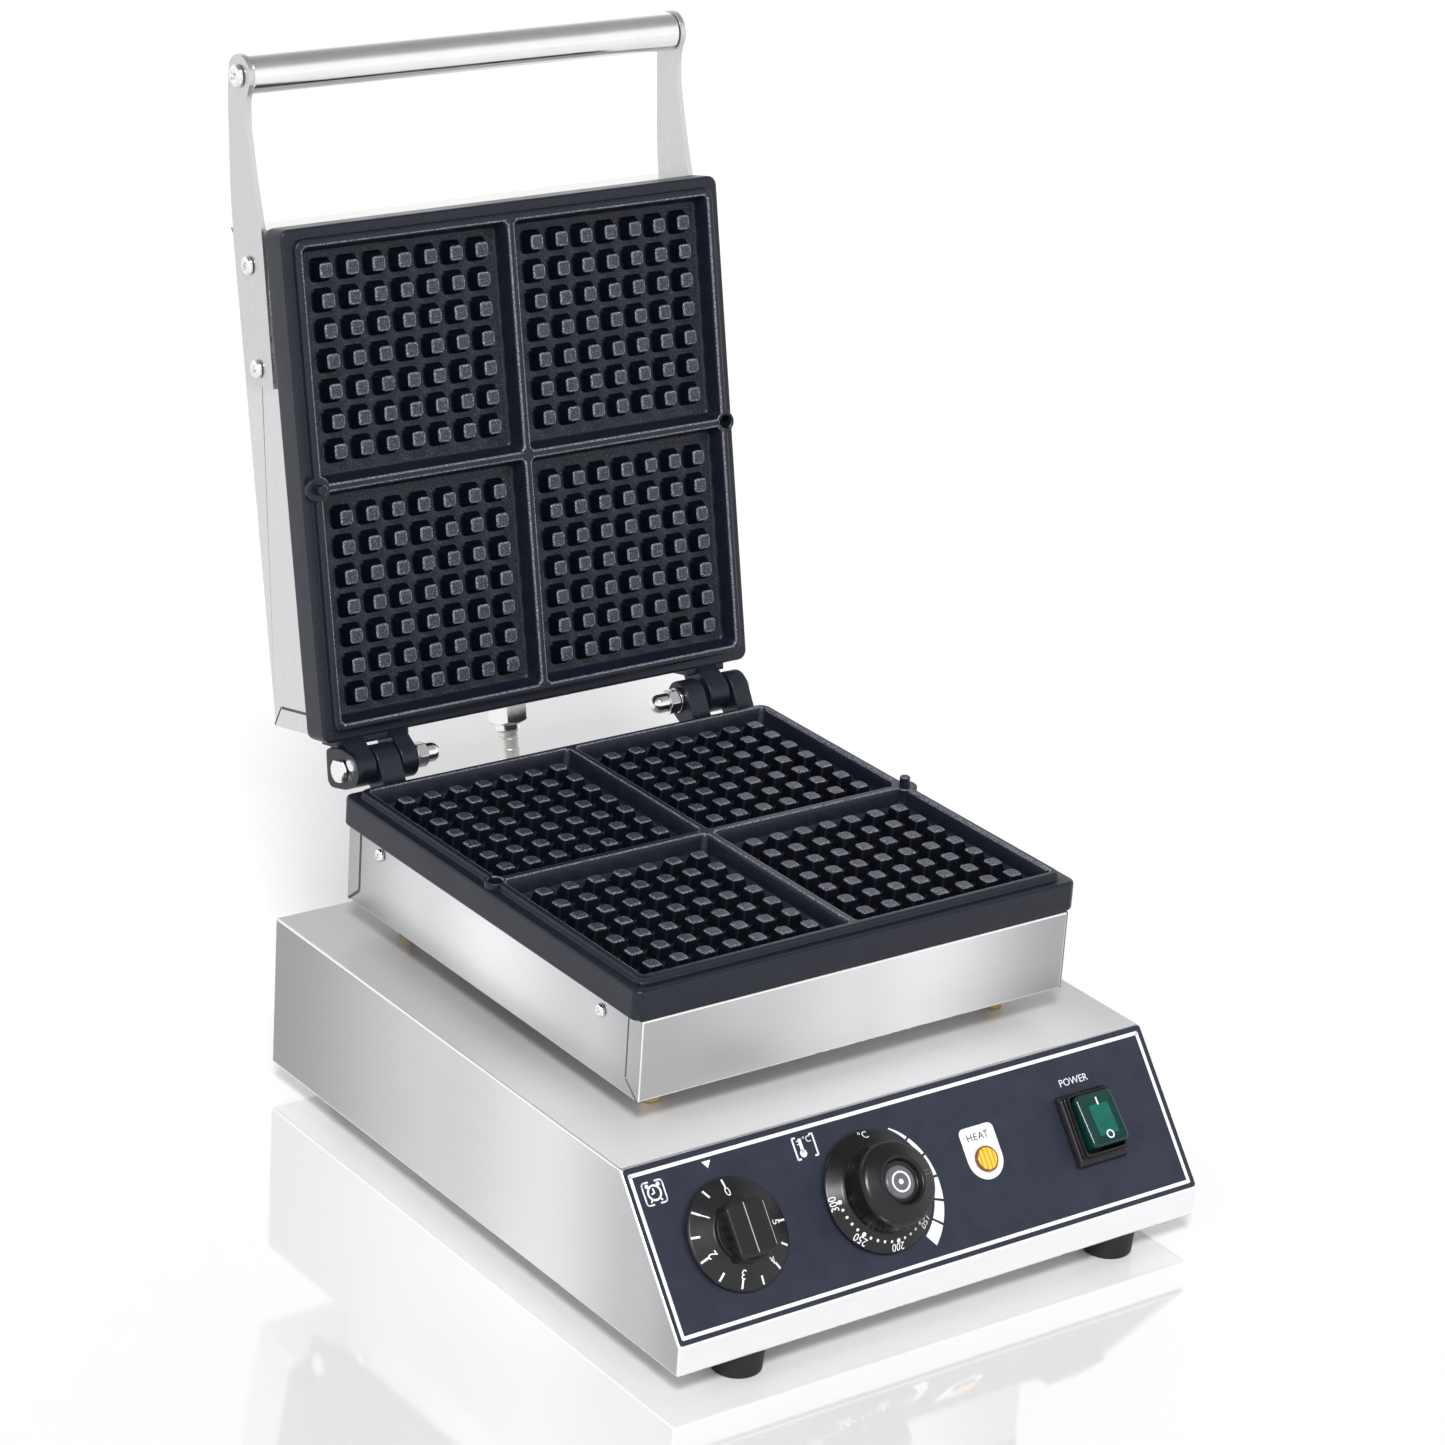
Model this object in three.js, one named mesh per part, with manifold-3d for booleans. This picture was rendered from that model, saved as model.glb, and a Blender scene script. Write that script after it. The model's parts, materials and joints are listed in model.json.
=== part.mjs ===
// Four-cell waffle maker, shown open: a sloped steel base with a control panel, a heated lower plate on
// standoffs, and a hinged lid that carries the matching upper plate and the handle.
// Millimetres, +X to the right, +Y to the back, +Z up. The origin is on the table, below the middle of
// the whole machine. Heights inside the machine group are counted from the underside of the base.
import * as THREE from 'three';
import { mergeGeometries, mergeVertices } from 'three/addons/utils/BufferGeometryUtils.js';
import Module from 'manifold-3d';

const wasm = await Module();
wasm.setup();

const GAP = 0.3; // between two pieces that touch
const CUT = 1; // how far a cutter runs past the face it opens
const RIGHT = 1;
const LEFT = -1;
const SIDES = [
  { label: 'left', side: LEFT },
  { label: 'right', side: RIGHT },
];

// ---- driving dimensions -------------------------------------------------------------------------------
const base = { width: 260, front: -151, back: 150, height: 67.8, lip: 12.5, crest: -106.5, sheet: 1.2 };
const bottom = { thickness: 1.2, lift: 0.2, clearance: 0.4 };
const foot = { height: 11, topRadius: 11, tipRadius: 10.2, x: 93.8, frontY: -140, rearY: 139 };
const footScrew = { headRadius: 4, headHeight: 2.6, shankRadius: 2, recessRadius: 4.6, recess: 3.6, reach: 5 };
const fascia = { inset: 0.5, thickness: 0.6, cornerRadius: 1.5 };

const tray = { halfWidth: 106.3, front: -83, back: 131, bottom: 79.5, top: 114.1, sheet: 1 };
const standoff = { acrossFlats: 8, studRadius: 1.9, holeRadius: 2.3, reach: 5 };
const standoffPlaces = [
  { label: 'front_left', x: -86.5, y: -63.6 },
  { label: 'front_right', x: 86.5, y: -63.6 },
  { label: 'rear_left', x: -88.5, y: 110.5 },
  { label: 'rear_right', x: 88.5, y: 110.5 },
];
const trayScrewPlaces = [
  { label: 'front', y: -55.7, z: 107.7 },
  { label: 'rear', y: 106.4, z: 109.1 },
];

const plate = {
  halfWidth: 109.8, halfDepth: 107.75, centreY: 24.44, cornerRadius: 4,
  rimHalfWidth: 105.2, rimHalfDepth: 103, rimHeight: 3, rimWall: 3.5,
  rib: 4.1, cellDepth: 8, draft: 1.85, floor: 4, wall: 3.5,
};
const lowerShelf = 127.4;
const upperShelf = 133.7;
const lowerSkirt = 13;
const upperSkirt = 14.3;
const pin = { perRow: 7, first: 13.93, pitchX: 12.7, pitchY: 12.55, baseWidth: 8.9, topWidth: 6.2, height: 5.9 };
const post = { bossRadius: 5.5, radius: 2.25, height: 4, tip: 0.8, x: 103.7 };
const socket = { bossRadius: 4.6, holeRadius: 3.4, depth: 5.5, x: 104.2 };

const hinge = { y: 144, z: 132.3, openAngle: 102.3, knuckleRadius: 8.3, boreRadius: 3.3, wallY: 131 };
const lowerWeb = { low: 116.5, high: 127.2 };
const upperWeb = { low: 134.5, high: 147 };
const upperPad = { back: 134.9, low: 134.1, high: 147.4 };
// Knuckle spans along X: the left hinge has two on the lid and one on the base, the right one the reverse.
const lowerKnuckles = [[-90, -78.9], [69.8, 79.4], [94, 103]];
const upperKnuckles = [[-101, -90.7], [-78.2, -69.8], [82, 92.5]];
const upperPads = [[-103.3, -68], [77, 97]];
const ear = { from: -103.3, to: -101, reliefRadius: 14.9, reliefGap: 0.6 };
// The ear's outline around the hinge axis, as (y, z) with the lid closed.
const earOutline = [
  [-8, 12], [6.2, 12.9], [8.8, 10.2], [8.3, -1.5], [4.9, -11.6], [-0.7, -14.3], [-7.1, -11], [-9.4, -0.3],
];
const bolt = { radius: 3, headFlats: 10, headHeight: 3.9, tip: 59.8 };
const washer = { outerRadius: 5.6, thickness: 1.3 };
const acornNut = {
  acrossFlats: 10, hexHeight: 5, domeRadius: 4.5, domeHeight: 9.5, boreDepth: 8.5,
  domeProfile: [[1, 0], [1, 0.27], [0.8, 0.63], [0.42, 0.87]], // as shares of the dome's radius and height
};

const lid = { halfWidth: 106.5, front: -82.6, back: 130.6, bottom: 148.3, top: 180.2, sheet: 1 };
const bracket = { inner: 106.8, thickness: 2.6, eyeRadius: 9 };
// The bracket's outline as (y, z) with the lid closed, from the lid's side to the eye and back.
const bracketOutline = [
  [-16.6, 151.7], [-80.8, 150.3], [-90, 151.7], [-103, 153.4], [-123, 154.8], [-136.6, 155.6], [-145.6, 157.9],
  [-138.1, 166.8], [-121.2, 170.6], [-94.2, 174], [-16.6, 174.2],
];
const handle = { y: -145.6, z: 157.9, radius: 8.25, wall: 1.2, endWall: 2 };
const handleScrew = { headRadius: 4.9, headHeight: 2.8, shankRadius: 2, holeRadius: 2.4, reach: 9 };
const bracketScrew = { headRadius: 4.1, headHeight: 2.5, shankRadius: 2, holeRadius: 2.4, reach: 6, z: 162.7 };
const bracketScrewPlaces = [
  { label: 'upper', y: -67.6 },
  { label: 'lower', y: -24.4 },
];
const traySmallScrew = { headRadius: 2.8, headHeight: 1.9, shankRadius: 1.5, holeRadius: 1.9, reach: 4 };

// Hose fittings, as lengths along the hose from the face that they are screwed to.
const lidGland = { z: 163.7, hexFlats: 17, hex: 14.5, collarRadius: 5.5, collar: 4, boreRadius: 3 };
const ferrule = { radius: 4.85, length: 8, lipRadius: 5.1, lip: 3.7 };
const baseGland = { x: 92, z: 38, hexFlats: 17, hex: 8, collarRadius: 5.6, collar: 8 };
const mainsGland = {
  x: -70, z: 25, flangeRadius: 12, flange: 6, neckRadius: 9, tipRadius: 7, length: 17, boreRadius: 3.5,
};
const glandThread = { radius: 5, reach: 5, clearance: 0.4 };
const mainsThread = { radius: 8, reach: 6 };
const hose = { radius: 4.5, sides: 10, steps: 26 };
// The hose's centreline with the lid open, from the lid's ferrule to the gland in the back panel.
const hoseRoute = [
  [0, 170.8, 107.8], [0, 169.6, 101], [1.2, 170.6, 92], [4.4, 175.5, 82.6], [9.2, 184, 74],
  [14.6, 194, 67.6], [21, 204.4, 62.6], [29, 213.4, 58.4], [39, 219.6, 54.6], [50, 222, 51],
  [61.4, 220.6, 47.6], [71.6, 215.4, 44.6], [80, 207.4, 42], [86.4, 197.4, 39.8], [90.4, 186, 38.5],
  [92, 175, 38], [92, 166, 38],
];

const element = { radius: 3.25, belowFloor: 0.2, halfWidth: 80, front: -66, back: 86, corner: 18, end: 25 };
const elementSides = 8;
const elementSteps = 28;
const insulation = { halfWidth: 98, front: -76, back: 122, thickness: 22, fromPlate: 6.8 };

// The control panel's own frame: x to the right, s up the slope from its lower edge, n out of it.
const slopeAngle = Math.atan2(base.height - base.lip, base.crest - base.front);
const slopeLength = Math.hypot(base.height - base.lip, base.crest - base.front);
const timer = { x: -90.5, s: 35, can: 38, depth: 26, bushRadius: 4.8, holeRadius: 5.3, bushTop: 2 };
const shaft = { radius: 3, clearance: 0.3, belowBoreTop: 0.6, deep: -20 };
const timerKnob = {
  radius: 22.5, under: 2.3, edge: 3.4, edgeChamfer: 0.7, hubRadius: 12.4, hubFoot: 6.4, hubTop: 8.6,
  barWidth: 18.6, barLength: 22.4, barCorner: 2.5, top: 14.3, boreTop: 11.2,
};
const thermostat = {
  x: -22.4, s: 35.2, width: 36, length: 42, depth: 24, bushRadius: 4.8, holeRadius: 5.3, bushTop: 2,
};
const dial = {
  radius: 24.8, under: 2.3, edge: 3.2, edgeChamfer: 0.5, hubRadius: 18.1, hubFoot: 6, wallRadius: 17.1,
  wallTop: 17.9, shoulderRadius: 16.1, shoulder: 19.1, top: 21, topRadius: 10, dishRadius: 9.2, dishFoot: 8.2,
  dishDepth: 2.6, capRadius: 6.9, capDepth: 1.5, boreTop: 14.6,
};
const knobBoreRadius = 3.3;
const lamp = {
  x: 33, s: 35.4, lensRadius: 5.2, stemRadius: 3.9, holeRadius: 4.3, rim: 1, round: 1, crown: 0.4,
  lensTop: 3.4, stemBottom: -4, bodyRadius: 4.6, bodyDeep: -20,
};
const rocker = {
  x: 87.9, s: 36.8, width: 18.9, halfLength: 11.2, ends: 6.6, middle: 5.9, flank: 1, keel: -3.4, keelHalf: 5,
  pivot: 4.6, tilt: 6,
};
const bezel = { s: 35.7, width: 26, length: 30.2, lean: 1.1, step: 4, innerWidth: 22, innerLength: 25.8, top: 7 };
const switchBody = {
  width: 22.4, length: 26.4, deep: -24, holeClearance: 0.4, cavityDeep: -2.4, cavityLength: 24.2,
};

const capillary = { radius: 1.2, sides: 6, steps: 24, holeRadius: 2.4 };
const bulb = { radius: 3.1, from: -10, to: 60, y: 24.4, z: 114.2 };
const capillaryRoute = [
  [-20, -104, 22], [-20, -90, 14], [-20, -50, 12], [-20, 0, 30], [-20, 20, 54], [-20, 24.4, 74],
  [-20, 24.4, 104], [-18, 24.4, 111], [-12, 24.4, 114.2], [-9, 24.4, 114.2],
];
const terminal = { x: 70, y: 70, width: 52, depth: 20, height: 17, ways: 5, slot: 6, slotDepth: 8 };

// ---- materials ----------------------------------------------------------------------------------------
function finish(color, roughness, metalness) {
  return new THREE.MeshStandardMaterial({ color, roughness, metalness });
}
const steel = finish(0xc9cacc, 0.28, 1);
const brightSteel = finish(0xdedfe0, 0.16, 1);
const castBlack = finish(0x14161c, 0.5, 0.35);
const navyPanel = finish(0x1c2333, 0.45, 0);
const blackPlastic = finish(0x101114, 0.35, 0);
const blackRubber = finish(0x0c0c0d, 0.8, 0);
const brass = finish(0xb98f45, 0.3, 1);
const greenPlastic = finish(0x0a6b4c, 0.2, 0);
const amberPlastic = finish(0xf2a014, 0.2, 0);
const wool = finish(0xd9d5ca, 0.95, 0);
const greyPlastic = finish(0x8d8f92, 0.5, 0);

// ---- geometry helpers ---------------------------------------------------------------------------------
function solid(geometry) {
  const bare = geometry.index ? geometry.toNonIndexed() : geometry.clone();
  bare.deleteAttribute('normal');
  bare.deleteAttribute('uv');
  const welded = mergeVertices(bare, 1e-4);
  return new wasm.Manifold(new wasm.Mesh({
    numProp: 3,
    vertProperties: new Float32Array(welded.attributes.position.array),
    triVerts: new Uint32Array(welded.index.array),
  }));
}

function geometryOf(shape) {
  const mesh = shape.getMesh();
  const geometry = new THREE.BufferGeometry();
  geometry.setAttribute('position', new THREE.BufferAttribute(new Float32Array(mesh.vertProperties), 3));
  geometry.setIndex(new THREE.BufferAttribute(new Uint32Array(mesh.triVerts), 1));
  geometry.computeVertexNormals();
  return geometry;
}

function join(...geometries) {
  return geometries.map(solid).reduce((all, next) => all.add(next));
}

function cut(shape, ...cutters) {
  return cutters.map(solid).reduce((left, cutter) => left.subtract(cutter), shape);
}

function block([x0, x1], [y0, y1], [z0, z1]) {
  const box = new THREE.BoxGeometry(x1 - x0, y1 - y0, z1 - z0);
  return box.translate((x0 + x1) / 2, (y0 + y1) / 2, (z0 + z1) / 2);
}

// Each kind of round or outlined piece is made along +Z and turned to its axis here.
function turned(geometry, axis) {
  if (axis === 'x') return geometry.rotateZ(Math.PI / 2).rotateY(Math.PI / 2);
  if (axis === 'y') return geometry.rotateX(-Math.PI / 2);
  return geometry;
}

function rod(axis, radius, [from, to], [x, y, z], segments = 20) {
  const cylinder = new THREE.CylinderGeometry(radius, radius, to - from, segments);
  cylinder.rotateX(Math.PI / 2).translate(0, 0, (from + to) / 2);
  return turned(cylinder, axis).translate(x, y, z);
}

function hexRod(axis, acrossFlats, span, place) {
  return rod(axis, acrossFlats / Math.sqrt(3), span, place, 6);
}

// A body of revolution around +Z from (radius, height) points that start and end on the axis.
function revolved(profile, segments = 32) {
  const points = profile.map(([r, h]) => new THREE.Vector2(r, h));
  return new THREE.LatheGeometry(points, segments).rotateX(Math.PI / 2);
}

// A (y, z) outline run along X.
function prismX(outline, [x0, x1]) {
  const shape = new THREE.Shape(outline.map(([y, z]) => new THREE.Vector2(y, z)));
  const prism = new THREE.ExtrudeGeometry(shape, { depth: x1 - x0, bevelEnabled: false });
  return prism.applyMatrix4(new THREE.Matrix4().set(0, 0, 1, x0, 1, 0, 0, 0, 0, 1, 0, 0, 0, 0, 0, 1));
}

function roundedRectangle(halfWidth, halfDepth, radius) {
  const shape = new THREE.Shape();
  shape.moveTo(-halfWidth + radius, -halfDepth);
  shape.lineTo(halfWidth - radius, -halfDepth);
  shape.absarc(halfWidth - radius, -halfDepth + radius, radius, -Math.PI / 2, 0);
  shape.absarc(halfWidth - radius, halfDepth - radius, radius, 0, Math.PI / 2);
  shape.absarc(-halfWidth + radius, halfDepth - radius, radius, Math.PI / 2, Math.PI);
  shape.absarc(-halfWidth + radius, -halfDepth + radius, radius, Math.PI, 1.5 * Math.PI);
  return shape;
}

function slab(halfWidth, halfDepth, radius, [z0, z1]) {
  const shape = roundedRectangle(halfWidth, halfDepth, radius);
  const prism = new THREE.ExtrudeGeometry(shape, { depth: z1 - z0, bevelEnabled: false, curveSegments: 3 });
  return prism.translate(0, 0, z0);
}

// A four-sided block whose sides lean, given as its lower and upper rectangles [x0, x1, y0, y1].
function tapered(lower, upper, [z0, z1]) {
  const box = new THREE.BoxGeometry(1, 1, 1);
  const position = box.attributes.position;
  for (let i = 0; i < position.count; i += 1) {
    const isTop = position.getZ(i) > 0;
    const [x0, x1, y0, y1] = isTop ? upper : lower;
    const x = position.getX(i) > 0 ? x1 : x0;
    const y = position.getY(i) > 0 ? y1 : y0;
    position.setXYZ(i, x, y, isTop ? z1 : z0);
  }
  return box;
}

function tube(curve, radius, sides, steps) {
  const section = new THREE.Shape();
  for (let i = 0; i < sides; i += 1) {
    const angle = (2 * Math.PI * i) / sides;
    section[i ? 'lineTo' : 'moveTo'](radius * Math.cos(angle), radius * Math.sin(angle));
  }
  return new THREE.ExtrudeGeometry(section, { steps, bevelEnabled: false, extrudePath: curve });
}

function through(points) {
  return new THREE.CatmullRomCurve3(points.map((point) => new THREE.Vector3(...point)), false, 'centripetal');
}

function add(parent, name, shape, material) {
  const geometry = shape.isBufferGeometry ? shape : geometryOf(shape);
  const mesh = new THREE.Mesh(geometry, material);
  mesh.name = name;
  parent.add(mesh);
  return mesh;
}

// A pan-head screw along X on one side of the machine: its head lies outside face, its shank runs inwards.
function sideScrew(size, side, face, y, z) {
  const head = [face + GAP, face + GAP + size.headHeight];
  const shank = [face - size.reach, face + 2 * GAP];
  const spans = [head, shank].map(([a, b]) => (side === RIGHT ? [a, b] : [-b, -a]));
  return join(
    rod('x', size.headRadius, spans[0], [0, y, z]),
    rod('x', size.shankRadius, spans[1], [0, y, z], 12),
  );
}

// ---- plates -------------------------------------------------------------------------------------------
// One casting, face up, with its shelf at height 0: rim, ribs, four cells of pins, post and socket.
function castPlate(skirt) {
  const rimSpan = [-CUT, plate.rimHeight];
  const cellFloor = plate.rimHeight - plate.cellDepth;
  const underside = cellFloor - plate.floor;
  let shape = join(
    slab(plate.halfWidth, plate.halfDepth, plate.cornerRadius, [-skirt, 0]),
    slab(plate.rimHalfWidth, plate.rimHalfDepth, plate.cornerRadius, rimSpan),
    rod('z', post.bossRadius, rimSpan, [post.x, 0, 0], 16),
    rod('z', socket.bossRadius, rimSpan, [-socket.x, 0, 0], 16),
    rod('z', post.radius, [0, plate.rimHeight + post.height - post.tip], [post.x, 0, 0], 12),
  );
  shape = cut(shape, block(
    [-plate.halfWidth + plate.wall, plate.halfWidth - plate.wall],
    [-plate.halfDepth + plate.wall, plate.halfDepth - plate.wall],
    [-skirt - CUT, underside],
  ));
  const near = plate.rib / 2;
  const farX = plate.rimHalfWidth - plate.rimWall;
  const farY = plate.rimHalfDepth - plate.rimWall;
  const rise = plate.draft * (CUT / plate.cellDepth);
  const pins = [];
  for (const sx of [LEFT, RIGHT]) {
    for (const sy of [LEFT, RIGHT]) {
      const rectangle = (inset) => [
        Math.min(sx * (near + inset), sx * (farX - inset)),
        Math.max(sx * (near + inset), sx * (farX - inset)),
        Math.min(sy * (near + inset), sy * (farY - inset)),
        Math.max(sy * (near + inset), sy * (farY - inset)),
      ];
      const cell = tapered(rectangle(plate.draft), rectangle(-rise), [cellFloor, plate.rimHeight + CUT]);
      shape = cut(shape, cell);
      for (let column = 0; column < pin.perRow; column += 1) {
        for (let row = 0; row < pin.perRow; row += 1) {
          const x = sx * (pin.first + column * pin.pitchX);
          const y = sy * (pin.first + row * pin.pitchY);
          const square = (width) => [x - width / 2, x + width / 2, y - width / 2, y + width / 2];
          const spread = (pin.baseWidth - pin.topWidth) * (CUT / pin.height);
          const span = [cellFloor - CUT, cellFloor + pin.height];
          pins.push(tapered(square(pin.baseWidth + spread), square(pin.topWidth), span));
        }
      }
    }
  }
  shape = shape.add(solid(mergeGeometries(pins)));
  // The bosses stand on the crossing of rib and rim, so they go back in where a cell was cut.
  shape = shape.add(join(
    rod('z', post.bossRadius, [cellFloor - CUT, plate.rimHeight], [post.x, 0, 0], 16),
    rod('z', socket.bossRadius, [cellFloor - CUT, plate.rimHeight], [-socket.x, 0, 0], 16),
  ));
  const tip = new THREE.CylinderGeometry(post.radius - post.tip, post.radius, post.tip, 12);
  tip.rotateX(Math.PI / 2).translate(post.x, 0, plate.rimHeight + post.height - post.tip / 2);
  shape = shape.add(solid(tip));
  return cut(shape, rod('z', socket.holeRadius, [plate.rimHeight - socket.depth, 2 * CUT + plate.rimHeight],
    [-socket.x, 0, 0], 16));
}

// A hinge knuckle with the web that joins it to the rear wall of its plate.
function knuckle([x0, x1], web) {
  const toWallLow = [hinge.wallY - hinge.y, web.low - hinge.z];
  const toWallHigh = [hinge.wallY - hinge.y, web.high - hinge.z];
  const tangent = ([y, z], turn) => {
    const angle = Math.atan2(z, y) + turn * Math.acos(hinge.knuckleRadius / Math.hypot(y, z));
    return [hinge.y + hinge.knuckleRadius * Math.cos(angle), hinge.z + hinge.knuckleRadius * Math.sin(angle)];
  };
  const outline = [
    [hinge.wallY, web.low], tangent(toWallLow, 1), [hinge.y, hinge.z], tangent(toWallHigh, -1),
    [hinge.wallY, web.high],
  ];
  return join(
    prismX(outline, [x0, x1]),
    rod('x', hinge.knuckleRadius, [x0, x1], [0, hinge.y, hinge.z], 24),
  );
}

function hingeBore() {
  return rod('x', hinge.boreRadius, [-base.width / 2, base.width / 2], [0, hinge.y, hinge.z], 20);
}

function lowerPlate() {
  let shape = castPlate(lowerSkirt).translate([0, plate.centreY, lowerShelf]);
  for (const span of lowerKnuckles) shape = shape.add(knuckle(span, lowerWeb));
  // Relief for the ear of the upper plate, which swings past the rear edge.
  const relief = rod('x', ear.reliefRadius, [ear.from - ear.reliefGap, ear.to + ear.reliefGap],
    [0, hinge.y, hinge.z], 32);
  return cut(shape, hingeBore(), relief);
}

function upperPlate() {
  const casting = castPlate(upperSkirt).rotate([0, 180, 0]);
  let shape = casting.translate([0, plate.centreY, upperShelf]);
  for (const span of upperPads) {
    shape = shape.add(solid(block(span, [hinge.wallY, upperPad.back], [upperPad.low, upperPad.high])));
  }
  for (const span of upperKnuckles) shape = shape.add(knuckle(span, upperWeb));
  const outline = earOutline.map(([y, z]) => [hinge.y + y, hinge.z + z]);
  shape = shape.add(solid(prismX(outline, [ear.from, ear.to + GAP])));
  return cut(shape, hingeBore());
}

// A tubular heating element bent into an open loop with rounded corners, its two ends side by side.
function heatingElement(z) {
  const { halfWidth, front, back, corner, end } = element;
  const corners = [[halfWidth, back], [halfWidth, front], [-halfWidth, front], [-halfWidth, back]];
  const directions = [[1, 0], [0, -1], [-1, 0], [0, 1], [1, 0]];
  const path = new THREE.CurvePath();
  let from = new THREE.Vector3(end, back, z);
  corners.forEach(([x, y], i) => {
    const [inX, inY] = directions[i];
    const [outX, outY] = directions[i + 1];
    const before = new THREE.Vector3(x - inX * corner, y - inY * corner, z);
    const after = new THREE.Vector3(x + outX * corner, y + outY * corner, z);
    path.add(new THREE.LineCurve3(from, before));
    path.add(new THREE.QuadraticBezierCurve3(before, new THREE.Vector3(x, y, z), after));
    from = after;
  });
  path.add(new THREE.LineCurve3(from, new THREE.Vector3(-end, back, z)));
  return tube(path, element.radius, elementSides, elementSteps);
}

// ---- base ---------------------------------------------------------------------------------------------
// A shape made in the control panel's frame (x, s, n), moved to its place on the slope.
function onPanel(shape) {
  return shape.rotate([THREE.MathUtils.radToDeg(slopeAngle), 0, 0]).translate([0, base.front, base.lip]);
}

function panelRod(radius, span, { x, s }, segments = 24) {
  return rod('z', radius, span, [x, s, 0], segments);
}

function panelCutters(clearance) {
  const span = [-3 * CUT, 3 * CUT];
  const halfWidth = switchBody.width / 2 + clearance;
  const halfLength = switchBody.length / 2 + clearance;
  return [
    panelRod(timer.holeRadius, span, timer),
    panelRod(thermostat.holeRadius, span, thermostat),
    panelRod(lamp.holeRadius, span, lamp),
    block([rocker.x - halfWidth, rocker.x + halfWidth], [rocker.s - halfLength, rocker.s + halfLength], span),
  ];
}

function baseShell() {
  const half = base.width / 2;
  const outer = [
    [base.front, 0], [base.front, base.lip], [base.crest, base.height], [base.back, base.height], [base.back, 0],
  ];
  const lipInset = base.sheet * Math.tan((Math.PI / 2 - slopeAngle) / 2);
  const crestInset = base.sheet * Math.tan(slopeAngle / 2);
  const inner = [
    [base.front + base.sheet, -CUT], [base.front + base.sheet, base.lip - lipInset],
    [base.crest + crestInset, base.height - base.sheet],
    [base.back + CUT, base.height - base.sheet], [base.back + CUT, -CUT],
  ];
  let shape = solid(prismX(outer, [-half, half]));
  shape = cut(shape, prismX(inner, [-half + base.sheet, half - base.sheet]));
  for (const cutter of panelCutters(switchBody.holeClearance)) shape = shape.subtract(onPanel(solid(cutter)));
  const topSpan = [base.height - 3 * CUT, base.height + CUT];
  const holes = standoffPlaces.map(({ x, y }) => rod('z', standoff.holeRadius, topSpan, [x, y, 0], 12));
  const capillaryHole = rod('z', capillary.holeRadius, topSpan, [capillaryRoute[5][0], bulb.y, 0], 12);
  return cut(shape, ...holes, capillaryHole);
}

function bottomPlate() {
  const half = base.width / 2 - base.sheet - bottom.clearance;
  const span = [bottom.lift, bottom.lift + bottom.thickness];
  const depth = [base.front + base.sheet + bottom.clearance, base.back - bottom.clearance];
  const holeRadius = footScrew.shankRadius + GAP;
  const holes = footPlaces.map(({ x, y }) => rod('z', holeRadius, [-CUT, 3 * CUT], [x, y, 0], 12));
  return cut(solid(block([-half, half], depth, span)), ...holes);
}

const panelBack = base.back - bottom.clearance;
function backPanel() {
  const half = base.width / 2 - base.sheet - bottom.clearance;
  const low = bottom.lift + bottom.thickness + GAP;
  const high = base.height - base.sheet - bottom.clearance;
  const span = [panelBack - 3 * CUT, panelBack + CUT];
  return cut(
    solid(block([-half, half], [panelBack - base.sheet, panelBack], [low, high])),
    rod('y', glandThread.radius + glandThread.clearance, span, [baseGland.x, 0, baseGland.z]),
    rod('y', mainsThread.radius + glandThread.clearance, span, [mainsGland.x, 0, mainsGland.z]),
  );
}

function controlFascia() {
  const halfWidth = base.width / 2 - fascia.inset;
  const halfLength = slopeLength / 2 - fascia.inset;
  const sheet = slab(halfWidth, halfLength, fascia.cornerRadius, [GAP, GAP + fascia.thickness]);
  return cut(solid(sheet.translate(0, slopeLength / 2, 0)), ...panelCutters(switchBody.holeClearance));
}

function rubberFoot() {
  const inner = footScrew.shankRadius + GAP;
  const seat = footScrew.recess - foot.height;
  const top = -GAP / 3;
  return revolved([
    [inner, top], [inner, seat], [footScrew.recessRadius, seat], [footScrew.recessRadius, -foot.height],
    [foot.tipRadius, -foot.height], [foot.topRadius, top], [inner, top],
  ], 20);
}

function feetScrew() {
  const seat = footScrew.recess - foot.height - GAP;
  return join(
    rod('z', footScrew.headRadius, [seat - footScrew.headHeight, seat], [0, 0, 0], 16),
    rod('z', footScrew.shankRadius, [seat - CUT, footScrew.reach], [0, 0, 0], 12),
  );
}

const footPlaces = SIDES.flatMap(({ label, side }) => [
  { label: `front_${label}`, x: side * foot.x, y: foot.frontY },
  { label: `rear_${label}`, x: side * foot.x, y: foot.rearY },
]);

function heaterTray() {
  const { halfWidth, front, back, sheet } = tray;
  let shape = solid(block([-halfWidth, halfWidth], [front, back], [tray.bottom, tray.top]));
  const floorSpan = [tray.bottom - CUT, tray.bottom + 2 * CUT];
  const sideSpan = [-halfWidth - CUT, halfWidth + CUT];
  const insideX = [-halfWidth + sheet, halfWidth - sheet];
  shape = cut(
    shape,
    block(insideX, [front + sheet, back - sheet], [tray.bottom + sheet, tray.top + CUT]),
    ...standoffPlaces.map(({ x, y }) => rod('z', standoff.holeRadius, floorSpan, [x, y, 0], 12)),
    ...trayScrewPlaces.map(({ y, z }) => rod('x', traySmallScrew.holeRadius, sideSpan, [0, y, z], 12)),
    rod('z', capillary.holeRadius, floorSpan, [capillaryRoute[5][0], bulb.y, 0], 12),
  );
  return shape;
}

function hexStandoff(x, y) {
  const low = base.height + GAP;
  const high = tray.bottom - GAP;
  return join(
    hexRod('z', standoff.acrossFlats, [low, high], [x, y, 0]),
    rod('z', standoff.studRadius, [low - standoff.reach, high + standoff.reach], [x, y, 0], 12),
  );
}

function insulationPad(z0, z1) {
  const pad = block([-insulation.halfWidth, insulation.halfWidth], [insulation.front, insulation.back], [z0, z1]);
  return solid(pad);
}

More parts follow.
